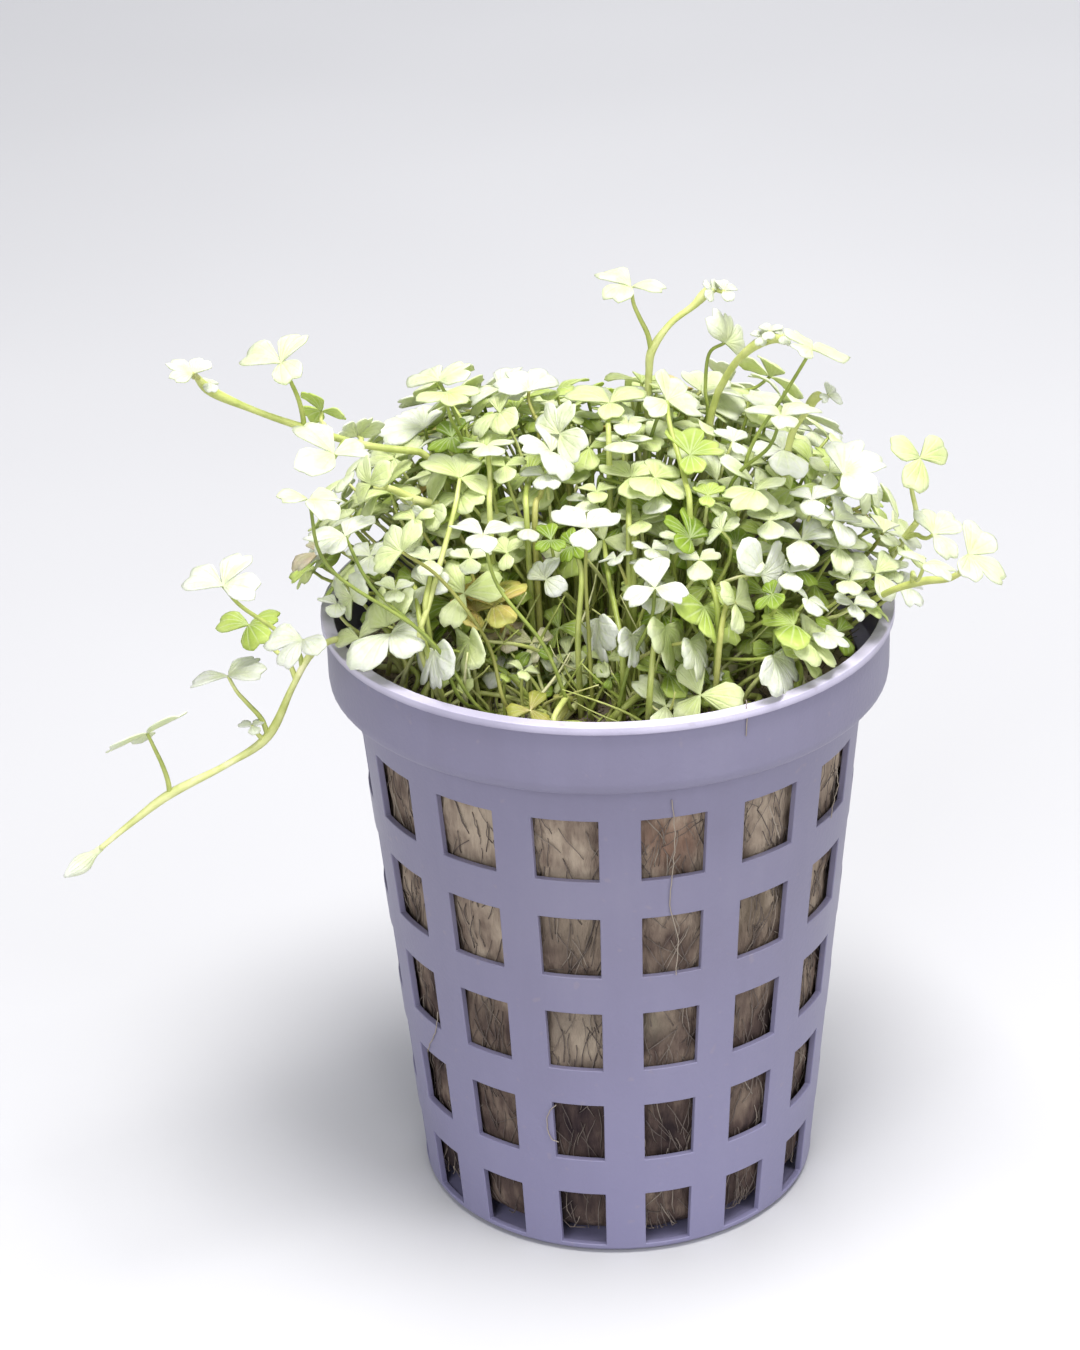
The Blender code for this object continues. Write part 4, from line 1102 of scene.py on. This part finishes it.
def net_pot():
    """The pot, with its edges rounded."""
    mesh = bmesh.new()
    levels = hole_levels()
    outer = [column_ring(mesh, wall_radius(z), z) for z in levels]
    inner = [column_ring(mesh, wall_radius(z) - HOLED_WALL, z) for z in levels]
    for step in range(len(levels) - 1):
        is_hole = step % 2 == 0
        band(mesh, outer[step], outer[step + 1], is_hole)
        band(mesh, inner[step], inner[step + 1], is_hole)
        if is_hole:
            hole_walls(mesh, outer[step], outer[step + 1], inner[step], inner[step + 1])
    underside = column_ring(mesh, BASE_RADIUS - FOOT_ROUNDING, 0)
    foot = column_ring(mesh, wall_radius(FOOT_ROUNDING), FOOT_ROUNDING)
    mesh.faces.new(underside)
    band(mesh, underside, foot)
    band(mesh, foot, outer[0])
    floor_edge = column_ring(mesh, wall_radius(FLOOR_THICKNESS) - HOLED_WALL, FLOOR_THICKNESS)
    mesh.faces.new(floor_edge)
    band(mesh, floor_edge, inner[0])
    ledge = COLLAR_BOTTOM + COLLAR_THICKNESS
    lip_bottom = POT_HEIGHT - LIP_HEIGHT
    wall = wall_radius(COLLAR_BOTTOM)
    step = COLLAR_RADIUS - wall
    rim_profile = [(wall + share * step, COLLAR_BOTTOM + rise * MM) for share, rise in COLLAR_CURVE]
    rim_profile += [(COLLAR_RADIUS, COLLAR_BOTTOM + 1.4 * MM), (COLLAR_RADIUS, lip_bottom),
                    (LIP_RADIUS, lip_bottom), (LIP_RADIUS, POT_HEIGHT), (LIP_INNER_RADIUS, POT_HEIGHT),
                    (COLLAR_RADIUS - COLLAR_THICKNESS, ledge), (wall_radius(ledge) - HOLED_WALL, ledge)]
    rings = [outer[-1]] + [column_ring(mesh, *corner) for corner in rim_profile] + [inner[-1]]
    for lower, upper in zip(rings, rings[1:]):
        band(mesh, lower, upper)
    bmesh.ops.recalc_face_normals(mesh, faces=mesh.faces)
    data = bpy.data.meshes.new("pot")
    mesh.to_mesh(data)
    mesh.free()
    data.materials.append(PLASTIC)
    data.shade_smooth()
    piece = placed("pot", data)
    rounding = piece.modifiers.new("rounded_edges", "BEVEL")
    rounding.width = POT_EDGE_ROUNDING
    rounding.segments = 3
    rounding.limit_method = "ANGLE"
    rounding.angle_limit = math.radians(32)
    rounding.harden_normals = True
    settled(piece, ["net_pot"])


ROCKWOOL_COLUMNS = 150
ROCKWOOL_LEVELS = 64
ROCKWOOL_TOP_RINGS = 22
ROCKWOOL_FLOOR = 1.0 * MM
ROCKWOOL_EDGE_ROUNDING = 2.6 * MM


def rockwool_radius(angle, z):
    """Radius of the rockwool's side, which is lumpy and rounded off above the pot's floor."""
    radius = wall_radius(z) - ROCKWOOL_INSET
    place = Vector((math.cos(angle) * 19, math.sin(angle) * 19, z / MM))
    radius += 0.32 * MM * noise.noise(place / 2.6) + 0.14 * MM * noise.noise(place / 0.8)
    above = (z - ROCKWOOL_FLOOR) / ROCKWOOL_EDGE_ROUNDING
    if above < 1:
        radius -= ROCKWOOL_EDGE_ROUNDING * (1 - math.sqrt(max(0.0, 1 - (1 - above) ** 2)))
    return radius


def rockwool():
    """The rockwool plug: a lumpy side that shows through the holes, and an uneven top."""
    batch = Batch()
    points = []
    levels = [ROCKWOOL_FLOOR + (COLLAR_BOTTOM + 1.6 * MM - ROCKWOOL_FLOOR) * (step / ROCKWOOL_LEVELS) ** 1.15
              for step in range(ROCKWOOL_LEVELS + 1)]
    for z in levels:
        for column in range(ROCKWOOL_COLUMNS):
            angle = column * math.tau / ROCKWOOL_COLUMNS
            points.append(polar(rockwool_radius(angle, min(z, COLLAR_BOTTOM)), angle, z))
    for ring in range(ROCKWOOL_TOP_RINGS):
        share = 1 - ring / ROCKWOOL_TOP_RINGS
        for column in range(ROCKWOOL_COLUMNS):
            angle = column * math.tau / ROCKWOOL_COLUMNS
            radius = share * 0.985 * rockwool_radius(angle, COLLAR_BOTTOM)
            x, y = radius * math.cos(angle), radius * math.sin(angle)
            rough = 0.28 * noise.noise(Vector((x, y, 3 * MM)) / (0.9 * MM))
            points.append(Vector((x, y, rockwool_top(x, y) + rough * MM)))
    rings = len(points) // ROCKWOOL_COLUMNS
    faces = ring_faces(rings, ROCKWOOL_COLUMNS)
    for ring, centre in ((0, Vector((0, 0, ROCKWOOL_FLOOR))), (rings - 1, on_rockwool(0, 0))):
        points.append(centre)
        for column in range(ROCKWOOL_COLUMNS):
            low = ring * ROCKWOOL_COLUMNS
            pair = (low + column, low + (column + 1) % ROCKWOOL_COLUMNS)
            faces.append((*(pair if ring else pair[::-1]), len(points) - 1))
    batch.add(points, faces, [(0.5, 0.5, 0.5, 0.0)] * len(points))
    batch.made("rockwool", [ROCKWOOL], "rockwool", ["rockwool_plug"])


SIDE_FIBRES = 2600
TOP_FIBRES = 700

# Patches of the rockwool's side: the pixel it shows at, its reach in millimetres and its colour; the brown ones
# tint the rockwool and the two near-black ones are painted shade
ROCKWOOL_PATCHES = [
    ((575, 1038), 5.0, (0.42, 0.36, 0.27)),
    ((575, 935), 4.5, (0.30, 0.25, 0.18)),
    ((672, 845), 4.5, (0.30, 0.17, 0.11)),
    ((655, 1030), 3.0, (0.27, 0.24, 0.17)),
    ((760, 910), 5.0, (0.17, 0.14, 0.09)),
    ((575, 1130), 5.0, (0.025, 0.015, 0.02)),
    ((478, 1020), 3.0, (0.03, 0.02, 0.02)),
]


def rockwool_fibres(chance):
    """Fine strands combed down the rockwool's side and standing out of its top."""
    batch = Batch()
    for _ in range(SIDE_FIBRES):
        angle = chance.uniform(0, math.tau)
        z = chance.uniform(3.0, 47.0) * MM
        length = chance.uniform(1.8, 5.0) * MM
        drift = chance.gauss(0, 0.35)
        curl = chance.uniform(0, math.tau)
        line = []
        for share in evenly(0, 1, 6):
            turn = angle + (drift * share * length + 0.12 * MM * math.sin(5 * share + curl)) / (20 * MM)
            height = z - share * length * math.cos(drift)
            proud = 0.05 * MM + 0.28 * MM * math.sin(math.pi * share) * chance.uniform(0.3, 1)
            radius = rockwool_radius(turn, max(height, 2.5 * MM)) + proud
            line.append(polar(radius, turn, max(height, 2.0 * MM)))
        thick = chance.uniform(0.03, 0.055) * MM
        tube(batch, line, [thick] * 6, 3, chance.random(), 0, chance.random())
    for _ in range(TOP_FIBRES):
        around = chance.uniform(0, math.tau)
        out = 20.6 * MM * math.sqrt(chance.random())
        foot = polar(out, around)
        foot.z = rockwool_top(foot.x, foot.y) - 0.1 * MM
        lean = Vector((chance.gauss(0, 0.8), chance.gauss(0, 0.8), chance.uniform(0.15, 0.9)))
        tip = foot + lean * chance.uniform(0.8, 2.0) * MM
        bend = foot.lerp(tip, 0.5) + Vector((chance.gauss(0, 0.2), chance.gauss(0, 0.2), 0.3)) * MM
        thick = chance.uniform(0.03, 0.08) * MM
        tube(batch, bezier(foot, bend, bend, tip, 4), [thick] * 5, 3, chance.random(), 0, chance.random())
    batch.made("rockwool_fibres", [FIBRE], "rockwool")


def on_wall(pixel, proud):
    """The point of the pot's outside that is seen at a pixel, a little proud of it."""
    depth = -27 * MM
    while depth < 0:
        place = at_depth(pixel, depth)
        outside = COLLAR_RADIUS if place.z > COLLAR_BOTTOM else wall_radius(place.z)
        if math.hypot(place.x, place.y) < outside + proud:
            return place
        depth += 0.05 * MM
    return at_depth(pixel, 0.0)


ROOT_RADIUS = 0.045 * MM
ROOT_STANDS_OUT = 0.12 * MM


def roots(chance):
    """Hair roots that hang out of the holes and over the pot."""
    batch = Batch()
    for pixels in ROOTS:
        places = [on_wall(pixel, ROOT_STANDS_OUT) for pixel in pixels]
        line = smooth_path(places, 5)
        line = [point + Vector((chance.gauss(0, 0.03), 0, 0)) * MM for point in line]
        tube(batch, line, [ROOT_RADIUS] * len(line), 5, chance.uniform(1.1, 1.4), 0, chance.random())
    batch.made("roots", [FIBRE], "rockwool")


class Nodes:
    """Short ways to build a material's node tree."""

    def __init__(self, name):
        self.material = bpy.data.materials.new(name)
        self.material.use_nodes = True
        self.tree = self.material.node_tree
        self.surface = self.tree.nodes["Principled BSDF"]

    def put(self, socket, value):
        """Links a socket to another, or sets its value."""
        if isinstance(value, bpy.types.NodeSocket):
            self.tree.links.new(value, socket)
        else:
            socket.default_value = value

    def math(self, operation, first, second=0.0):
        node = self.tree.nodes.new("ShaderNodeMath")
        node.operation = operation
        self.put(node.inputs[0], first)
        self.put(node.inputs[1], second)
        return node.outputs[0]

    def add(self, first, second):
        return self.math("ADD", first, second)

    def times(self, first, second):
        return self.math("MULTIPLY", first, second)

    def mix(self, share, first, second):
        node = self.tree.nodes.new("ShaderNodeMix")
        node.data_type = "RGBA"
        for index, value in ((0, share), (6, first), (7, second)):
            self.put(node.inputs[index], value)
        return node.outputs[2]

    def ramp(self, share, stops):
        node = self.tree.nodes.new("ShaderNodeValToRGB")
        elements = node.color_ramp.elements
        while len(elements) < len(stops):
            elements.new(0.5)
        for element, (place, colour) in zip(elements, stops):
            element.position = place
            element.color = (*colour, 1)
        self.put(node.inputs[0], share)
        return node.outputs[0]

    def spread(self, value, low, high, start=0.0, end=1.0):
        """Maps a value from low-high to start-end, and clamps it."""
        node = self.tree.nodes.new("ShaderNodeMapRange")
        for socket, number in zip(node.inputs, (value, low, high, start, end)):
            self.put(socket, number)
        return node.outputs[0]

    def place(self, stretch=(1, 1, 1)):
        """The object's own coordinates, in metres, stretched along its axes."""
        source = self.tree.nodes.new("ShaderNodeTexCoord")
        node = self.tree.nodes.new("ShaderNodeMapping")
        node.inputs["Scale"].default_value = stretch
        self.tree.links.new(source.outputs["Object"], node.inputs["Vector"])
        return node.outputs[0]

    def noise(self, place, scale, detail=3.0, rough=0.55):
        node = self.tree.nodes.new("ShaderNodeTexNoise")
        self.put(node.inputs["Vector"], place)
        node.inputs["Scale"].default_value = scale
        node.inputs["Detail"].default_value = detail
        node.inputs["Roughness"].default_value = rough
        return node.outputs[0]

    def paint(self):
        """The four paint values of each point: two places on the shape, its tone and its age."""
        node = self.tree.nodes.new("ShaderNodeAttribute")
        node.attribute_name = "paint"
        parts = self.tree.nodes.new("ShaderNodeSeparateColor")
        self.tree.links.new(node.outputs["Color"], parts.inputs[0])
        return parts.outputs[0], parts.outputs[1], parts.outputs[2], node.outputs["Alpha"]

    def height(self, place):
        node = self.tree.nodes.new("ShaderNodeSeparateXYZ")
        self.put(node.inputs[0], place)
        return node.outputs[2]

    def bump(self, height, distance):
        node = self.tree.nodes.new("ShaderNodeBump")
        node.inputs["Strength"].default_value = 1.0
        node.inputs["Distance"].default_value = distance
        self.put(node.inputs["Height"], height)
        return node.outputs[0]

    def finish(self, colour, roughness, normal=None, **constants):
        self.put(self.surface.inputs["Base Color"], colour)
        self.put(self.surface.inputs["Roughness"], roughness)
        if normal:
            self.put(self.surface.inputs["Normal"], normal)
        for name, value in constants.items():
            self.surface.inputs[name.replace("_", " ")].default_value = value
        return self.material


def leaf_material():
    """A thin leaf: green to near white by its tone, which is partly its own colour and partly painted light and
    shade, with paler veins and a little light let through.
    """
    nodes = Nodes("leaf")
    along, across, tone, brown = nodes.paint()
    place = nodes.place()
    patches = nodes.noise(place, 260, 4)
    grain = nodes.noise(place, 2600, 2)
    edge = nodes.spread(along, 0.1, 1.0, -0.10, 0.08)
    painted_light_and_mottling = nodes.add(nodes.add(tone, edge), nodes.spread(patches, 0.3, 0.7, -0.10, 0.10))
    # Deep green stands for painted shade and near white for painted highlight; the greens between are the
    # leaf's own.
    colour = nodes.ramp(painted_light_and_mottling, [
        (0.0, (0.160, 0.270, 0.016)), (0.22, (0.300, 0.430, 0.040)), (0.45, (0.560, 0.670, 0.160)),
        (0.68, (0.760, 0.810, 0.440)), (0.86, (0.810, 0.835, 0.640)), (1.0, (0.840, 0.840, 0.810))])
    vein = None
    for centre in (0.5, 0.30, 0.70, 0.14, 0.86):
        away = nodes.math("ABSOLUTE", nodes.math("SUBTRACT", across, centre))
        line = nodes.spread(nodes.times(away, along), 0.004, 0.022, 1.0, 0.0)
        vein = line if vein is None else nodes.math("MAXIMUM", vein, line)
    vein = nodes.times(vein, nodes.spread(along, 0.75, 1.0, 0.38, 0.08))
    colour = nodes.mix(vein, colour, (0.88, 0.92, 0.62, 1))
    stain = nodes.times(brown, nodes.spread(patches, 0.35, 0.6, 0.45, 1.0))
    colour = nodes.mix(stain, colour, (0.74, 0.42, 0.16, 1))
    puckers = nodes.noise(place, 900, 3)
    # Painted shade: the hollows of the puckers are painted a darker green.
    colour = nodes.mix(nodes.spread(puckers, 0.35, 0.6, 0.24, 0.0), colour, (0.50, 0.62, 0.20, 1))
    height = nodes.add(nodes.times(vein, -0.7), nodes.times(grain, 0.35))
    height = nodes.add(height, nodes.times(puckers, 1.6))
    roughness = nodes.spread(grain, 0.3, 0.7, 0.38, 0.55)
    normal = nodes.bump(height, 0.12 * MM)
    nodes.finish(colour, roughness, normal, Specular_IOR_Level=0.35)
    through = nodes.tree.nodes.new("ShaderNodeBsdfTranslucent")
    nodes.put(through.inputs["Color"], nodes.mix(0.40, colour, (0.66, 0.80, 0.22, 1)))
    nodes.put(through.inputs["Normal"], normal)
    both = nodes.tree.nodes.new("ShaderNodeMixShader")
    both.inputs[0].default_value = 0.36
    nodes.tree.links.new(nodes.surface.outputs[0], both.inputs[1])
    nodes.tree.links.new(through.outputs[0], both.inputs[2])
    nodes.tree.links.new(both.outputs[0], nodes.tree.nodes["Material Output"].inputs["Surface"])
    return nodes.material


def stem_material():
    """Olive green stems, paler along some and browner along others."""
    nodes = Nodes("stem")
    tone, seed = nodes.paint()[2:]
    patches = nodes.noise(nodes.place(), 420, 3)
    grain = nodes.noise(nodes.place(), 3000, 2)
    shade = nodes.add(tone, nodes.spread(patches, 0.3, 0.7, -0.2, 0.2))
    colour = nodes.ramp(shade, [
        (0.0, (0.160, 0.210, 0.030)), (0.35, (0.300, 0.360, 0.070)), (0.65, (0.470, 0.510, 0.150)),
        (0.9, (0.640, 0.660, 0.290)), (1.0, (0.740, 0.720, 0.420))])
    colour = nodes.mix(nodes.spread(seed, 0.88, 1.0, 0.0, 0.28), colour, (0.46, 0.30, 0.12, 1))
    normal = nodes.bump(nodes.add(grain, patches), 0.05 * MM)
    return nodes.finish(colour, nodes.spread(grain, 0.3, 0.7, 0.34, 0.5), normal)


def plastic_material():
    """Lavender-white moulded plastic, satin, with faint clouding and faint grey specks; its colours are
    darkened to lavender-grey as painted shade, lighter and bluer towards the bottom as painted light from
    below, with a painted highlight along the lip.
    """
    nodes = Nodes("plastic")
    place = nodes.place()
    clouds = nodes.noise(place, 55, 3)
    streaks = nodes.noise(nodes.place((1, 1, 0.12)), 420, 3)
    grain = nodes.noise(place, 2400, 2)
    # Painted shade: the plastic's colours are darkened to lavender-grey.
    colour = nodes.ramp(nodes.add(nodes.times(clouds, 0.7), nodes.times(streaks, 0.3)), [
        (0.30, (0.176, 0.163, 0.238)), (0.5, (0.190, 0.178, 0.262)), (0.72, (0.208, 0.196, 0.276))])
    height = nodes.height(place)
    # Painted light: lighter and bluer towards the bottom, as light let through the plastic from below.
    low = nodes.spread(height, 2 * MM, 34 * MM, 0.34, 0.0)
    colour = nodes.mix(low, colour, (0.24, 0.23, 0.42, 1))
    # Painted highlight along the lip's top, broken up by the clouds.
    lip = nodes.spread(height, POT_HEIGHT - 1.0 * MM, POT_HEIGHT - 0.3 * MM, 0.0, 1.0)
    lip = nodes.times(lip, nodes.spread(clouds, 0.35, 0.65, 0.45, 0.9))
    colour = nodes.mix(lip, colour, (0.66, 0.62, 0.76, 1))
    specks = nodes.spread(nodes.noise(place, 900, 1), 0.70, 0.78, 0.0, 0.22)
    colour = nodes.mix(specks, colour, (0.30, 0.25, 0.26, 1))
    roughness = nodes.spread(clouds, 0.3, 0.7, 0.36, 0.5)
    normal = nodes.bump(nodes.add(grain, nodes.times(clouds, 3.0)), 0.03 * MM)
    return nodes.finish(colour, roughness, normal, Specular_IOR_Level=0.45)


def rockwool_material():
    """Brown-grey rockwool: fibres run down it, darker low in the pot and yellower in patches, with listed
    patches of its own browns and of near-black painted shade.
    """
    nodes = Nodes("rockwool")
    combed = nodes.noise(nodes.place((1, 1, 0.22)), 1300, 4, 0.6)
    patches = nodes.noise(nodes.place((1, 1, 0.8)), 210, 3)
    height = nodes.spread(nodes.height(nodes.place()), 4 * MM, 44 * MM, -0.22, 0.10)
    shade = nodes.add(nodes.add(nodes.times(combed, 0.38), nodes.times(patches, 0.92)), height)
    colour = nodes.ramp(shade, [
        (0.30, (0.022, 0.014, 0.015)), (0.50, (0.085, 0.058, 0.048)), (0.66, (0.190, 0.142, 0.108)),
        (0.85, (0.400, 0.325, 0.245))])
    # Listed patches: the brown ones tint the rockwool, the near-black ones paint shade into it.
    for pixel, reach, patch_colour in ROCKWOOL_PATCHES:
        away = nodes.tree.nodes.new("ShaderNodeVectorMath")
        away.operation = "DISTANCE"
        nodes.put(away.inputs[0], nodes.place())
        away.inputs[1].default_value = on_wall(pixel, 0.0)
        share = nodes.spread(away.outputs["Value"], 0.3 * reach * MM, reach * MM, 0.75, 0.0)
        colour = nodes.mix(share, colour, nodes.mix(combed, (*patch_colour, 1), colour))
    normal = nodes.bump(nodes.add(combed, patches), 0.5 * MM)
    return nodes.finish(colour, 0.9, normal, Specular_IOR_Level=0.2)


def fibre_material():
    """Single strands, from brown to straw."""
    nodes = Nodes("fibre")
    tone, seed = nodes.paint()[2:]
    patches = nodes.spread(nodes.noise(nodes.place(), 300, 2), 0.3, 0.7, -0.1, 0.2)
    colour = nodes.ramp(nodes.add(nodes.times(tone, 0.8), patches), [
        (0.0, (0.085, 0.066, 0.056)), (0.6, (0.140, 0.110, 0.090)), (1.0, (0.330, 0.280, 0.220))])
    return nodes.finish(colour, nodes.spread(seed, 0, 1, 0.5, 0.8), None, Specular_IOR_Level=0.4)


def floor_material():
    """A plain pale floor."""
    nodes = Nodes("floor")
    shade = nodes.spread(nodes.noise(nodes.place(), 6, 2), 0.3, 0.7, 0.0, 1.0)
    colour = nodes.ramp(shade, [(0.0, (0.50, 0.50, 0.51)), (1.0, (0.53, 0.53, 0.54))])
    return nodes.finish(colour, 0.7, None, Specular_IOR_Level=0.2)


# Soft square lamps: place in metres, size, power and colour
LAMPS = [
    ((0.05, -0.10, 0.66), 0.30, 6.3, (1.0, 0.99, 0.98)),
    ((0.10, 0.70, 0.36), 0.5, 1.6, (0.96, 0.97, 1.0)),
    ((-0.35, -0.72, 0.42), 0.5, 4.0, (0.95, 0.96, 1.0)),
    ((0.62, -0.40, 0.34), 0.5, 2.8, (0.96, 0.96, 1.0)),
]
SKY_COLOUR = (0.88, 0.90, 1.0, 1)
SKY_STRENGTH = 0.30
FLOOR_SIZE = 3.0


def studio():
    """The camera of the photograph, a plain floor and soft light from above."""
    film = bpy.data.cameras.new("camera")
    film.sensor_fit = "VERTICAL"
    film.sensor_height = FILM_HEIGHT
    film.lens = PHOTO_FOCAL_LENGTH / PHOTO_HEIGHT * FILM_HEIGHT
    film.clip_start = 10 * MM
    film.clip_end = 20
    camera = placed("camera", film)
    axes = Matrix((RIGHT, UP, -FORWARD)).transposed()
    camera.matrix_world = Matrix.Translation(CAMERA_PLACE) @ axes.to_4x4()
    bpy.context.scene.camera = camera

    mesh = bmesh.new()
    bmesh.ops.create_grid(mesh, x_segments=8, y_segments=8, size=FLOOR_SIZE)
    data = bpy.data.meshes.new("floor")
    mesh.to_mesh(data)
    mesh.free()
    data.materials.append(floor_material())
    floor = placed("floor", data)
    floor.location = (0, 0, -0.05 * MM)

    for settings in LAMPS:
        lamp(*settings)
    world = bpy.data.worlds.new("soft_sky")
    world.use_nodes = True
    sky = world.node_tree.nodes["Background"]
    sky.inputs["Color"].default_value = SKY_COLOUR
    sky.inputs["Strength"].default_value = SKY_STRENGTH
    bpy.context.scene.world = world
    bpy.context.scene.view_settings.view_transform = "Standard"


def lamp(place, size, power, colour):
    """A square soft light that faces the plant."""
    data = bpy.data.lights.new("lamp", "AREA")
    data.size = size
    data.energy = power
    data.color = colour
    light = placed("lamp", data)
    towards = Vector((0, 0, 50 * MM)) - Vector(place)
    light.matrix_world = Matrix.Translation(place) @ towards.to_track_quat("-Z", "Y").to_matrix().to_4x4()


LEAF = leaf_material()
STEM = stem_material()
PLASTIC = plastic_material()
ROCKWOOL = rockwool_material()
FIBRE = fibre_material()


def main():
    room = Room()
    chance = random.Random(3)
    studio()
    net_pot()
    rockwool()
    rockwool_fibres(chance)
    roots(chance)
    model_leaves(room, chance)
    back_leaves(room, chance)
    stalks = crown_fill(room, chance)
    random_fill(room, stalks, chance)
    front_stalks(room, stalks, chance)
    hollow_leaves(stalks, chance)
    thicket(stalks, chance)
    runners(chance)


main()

bpy.context.view_layer.update()
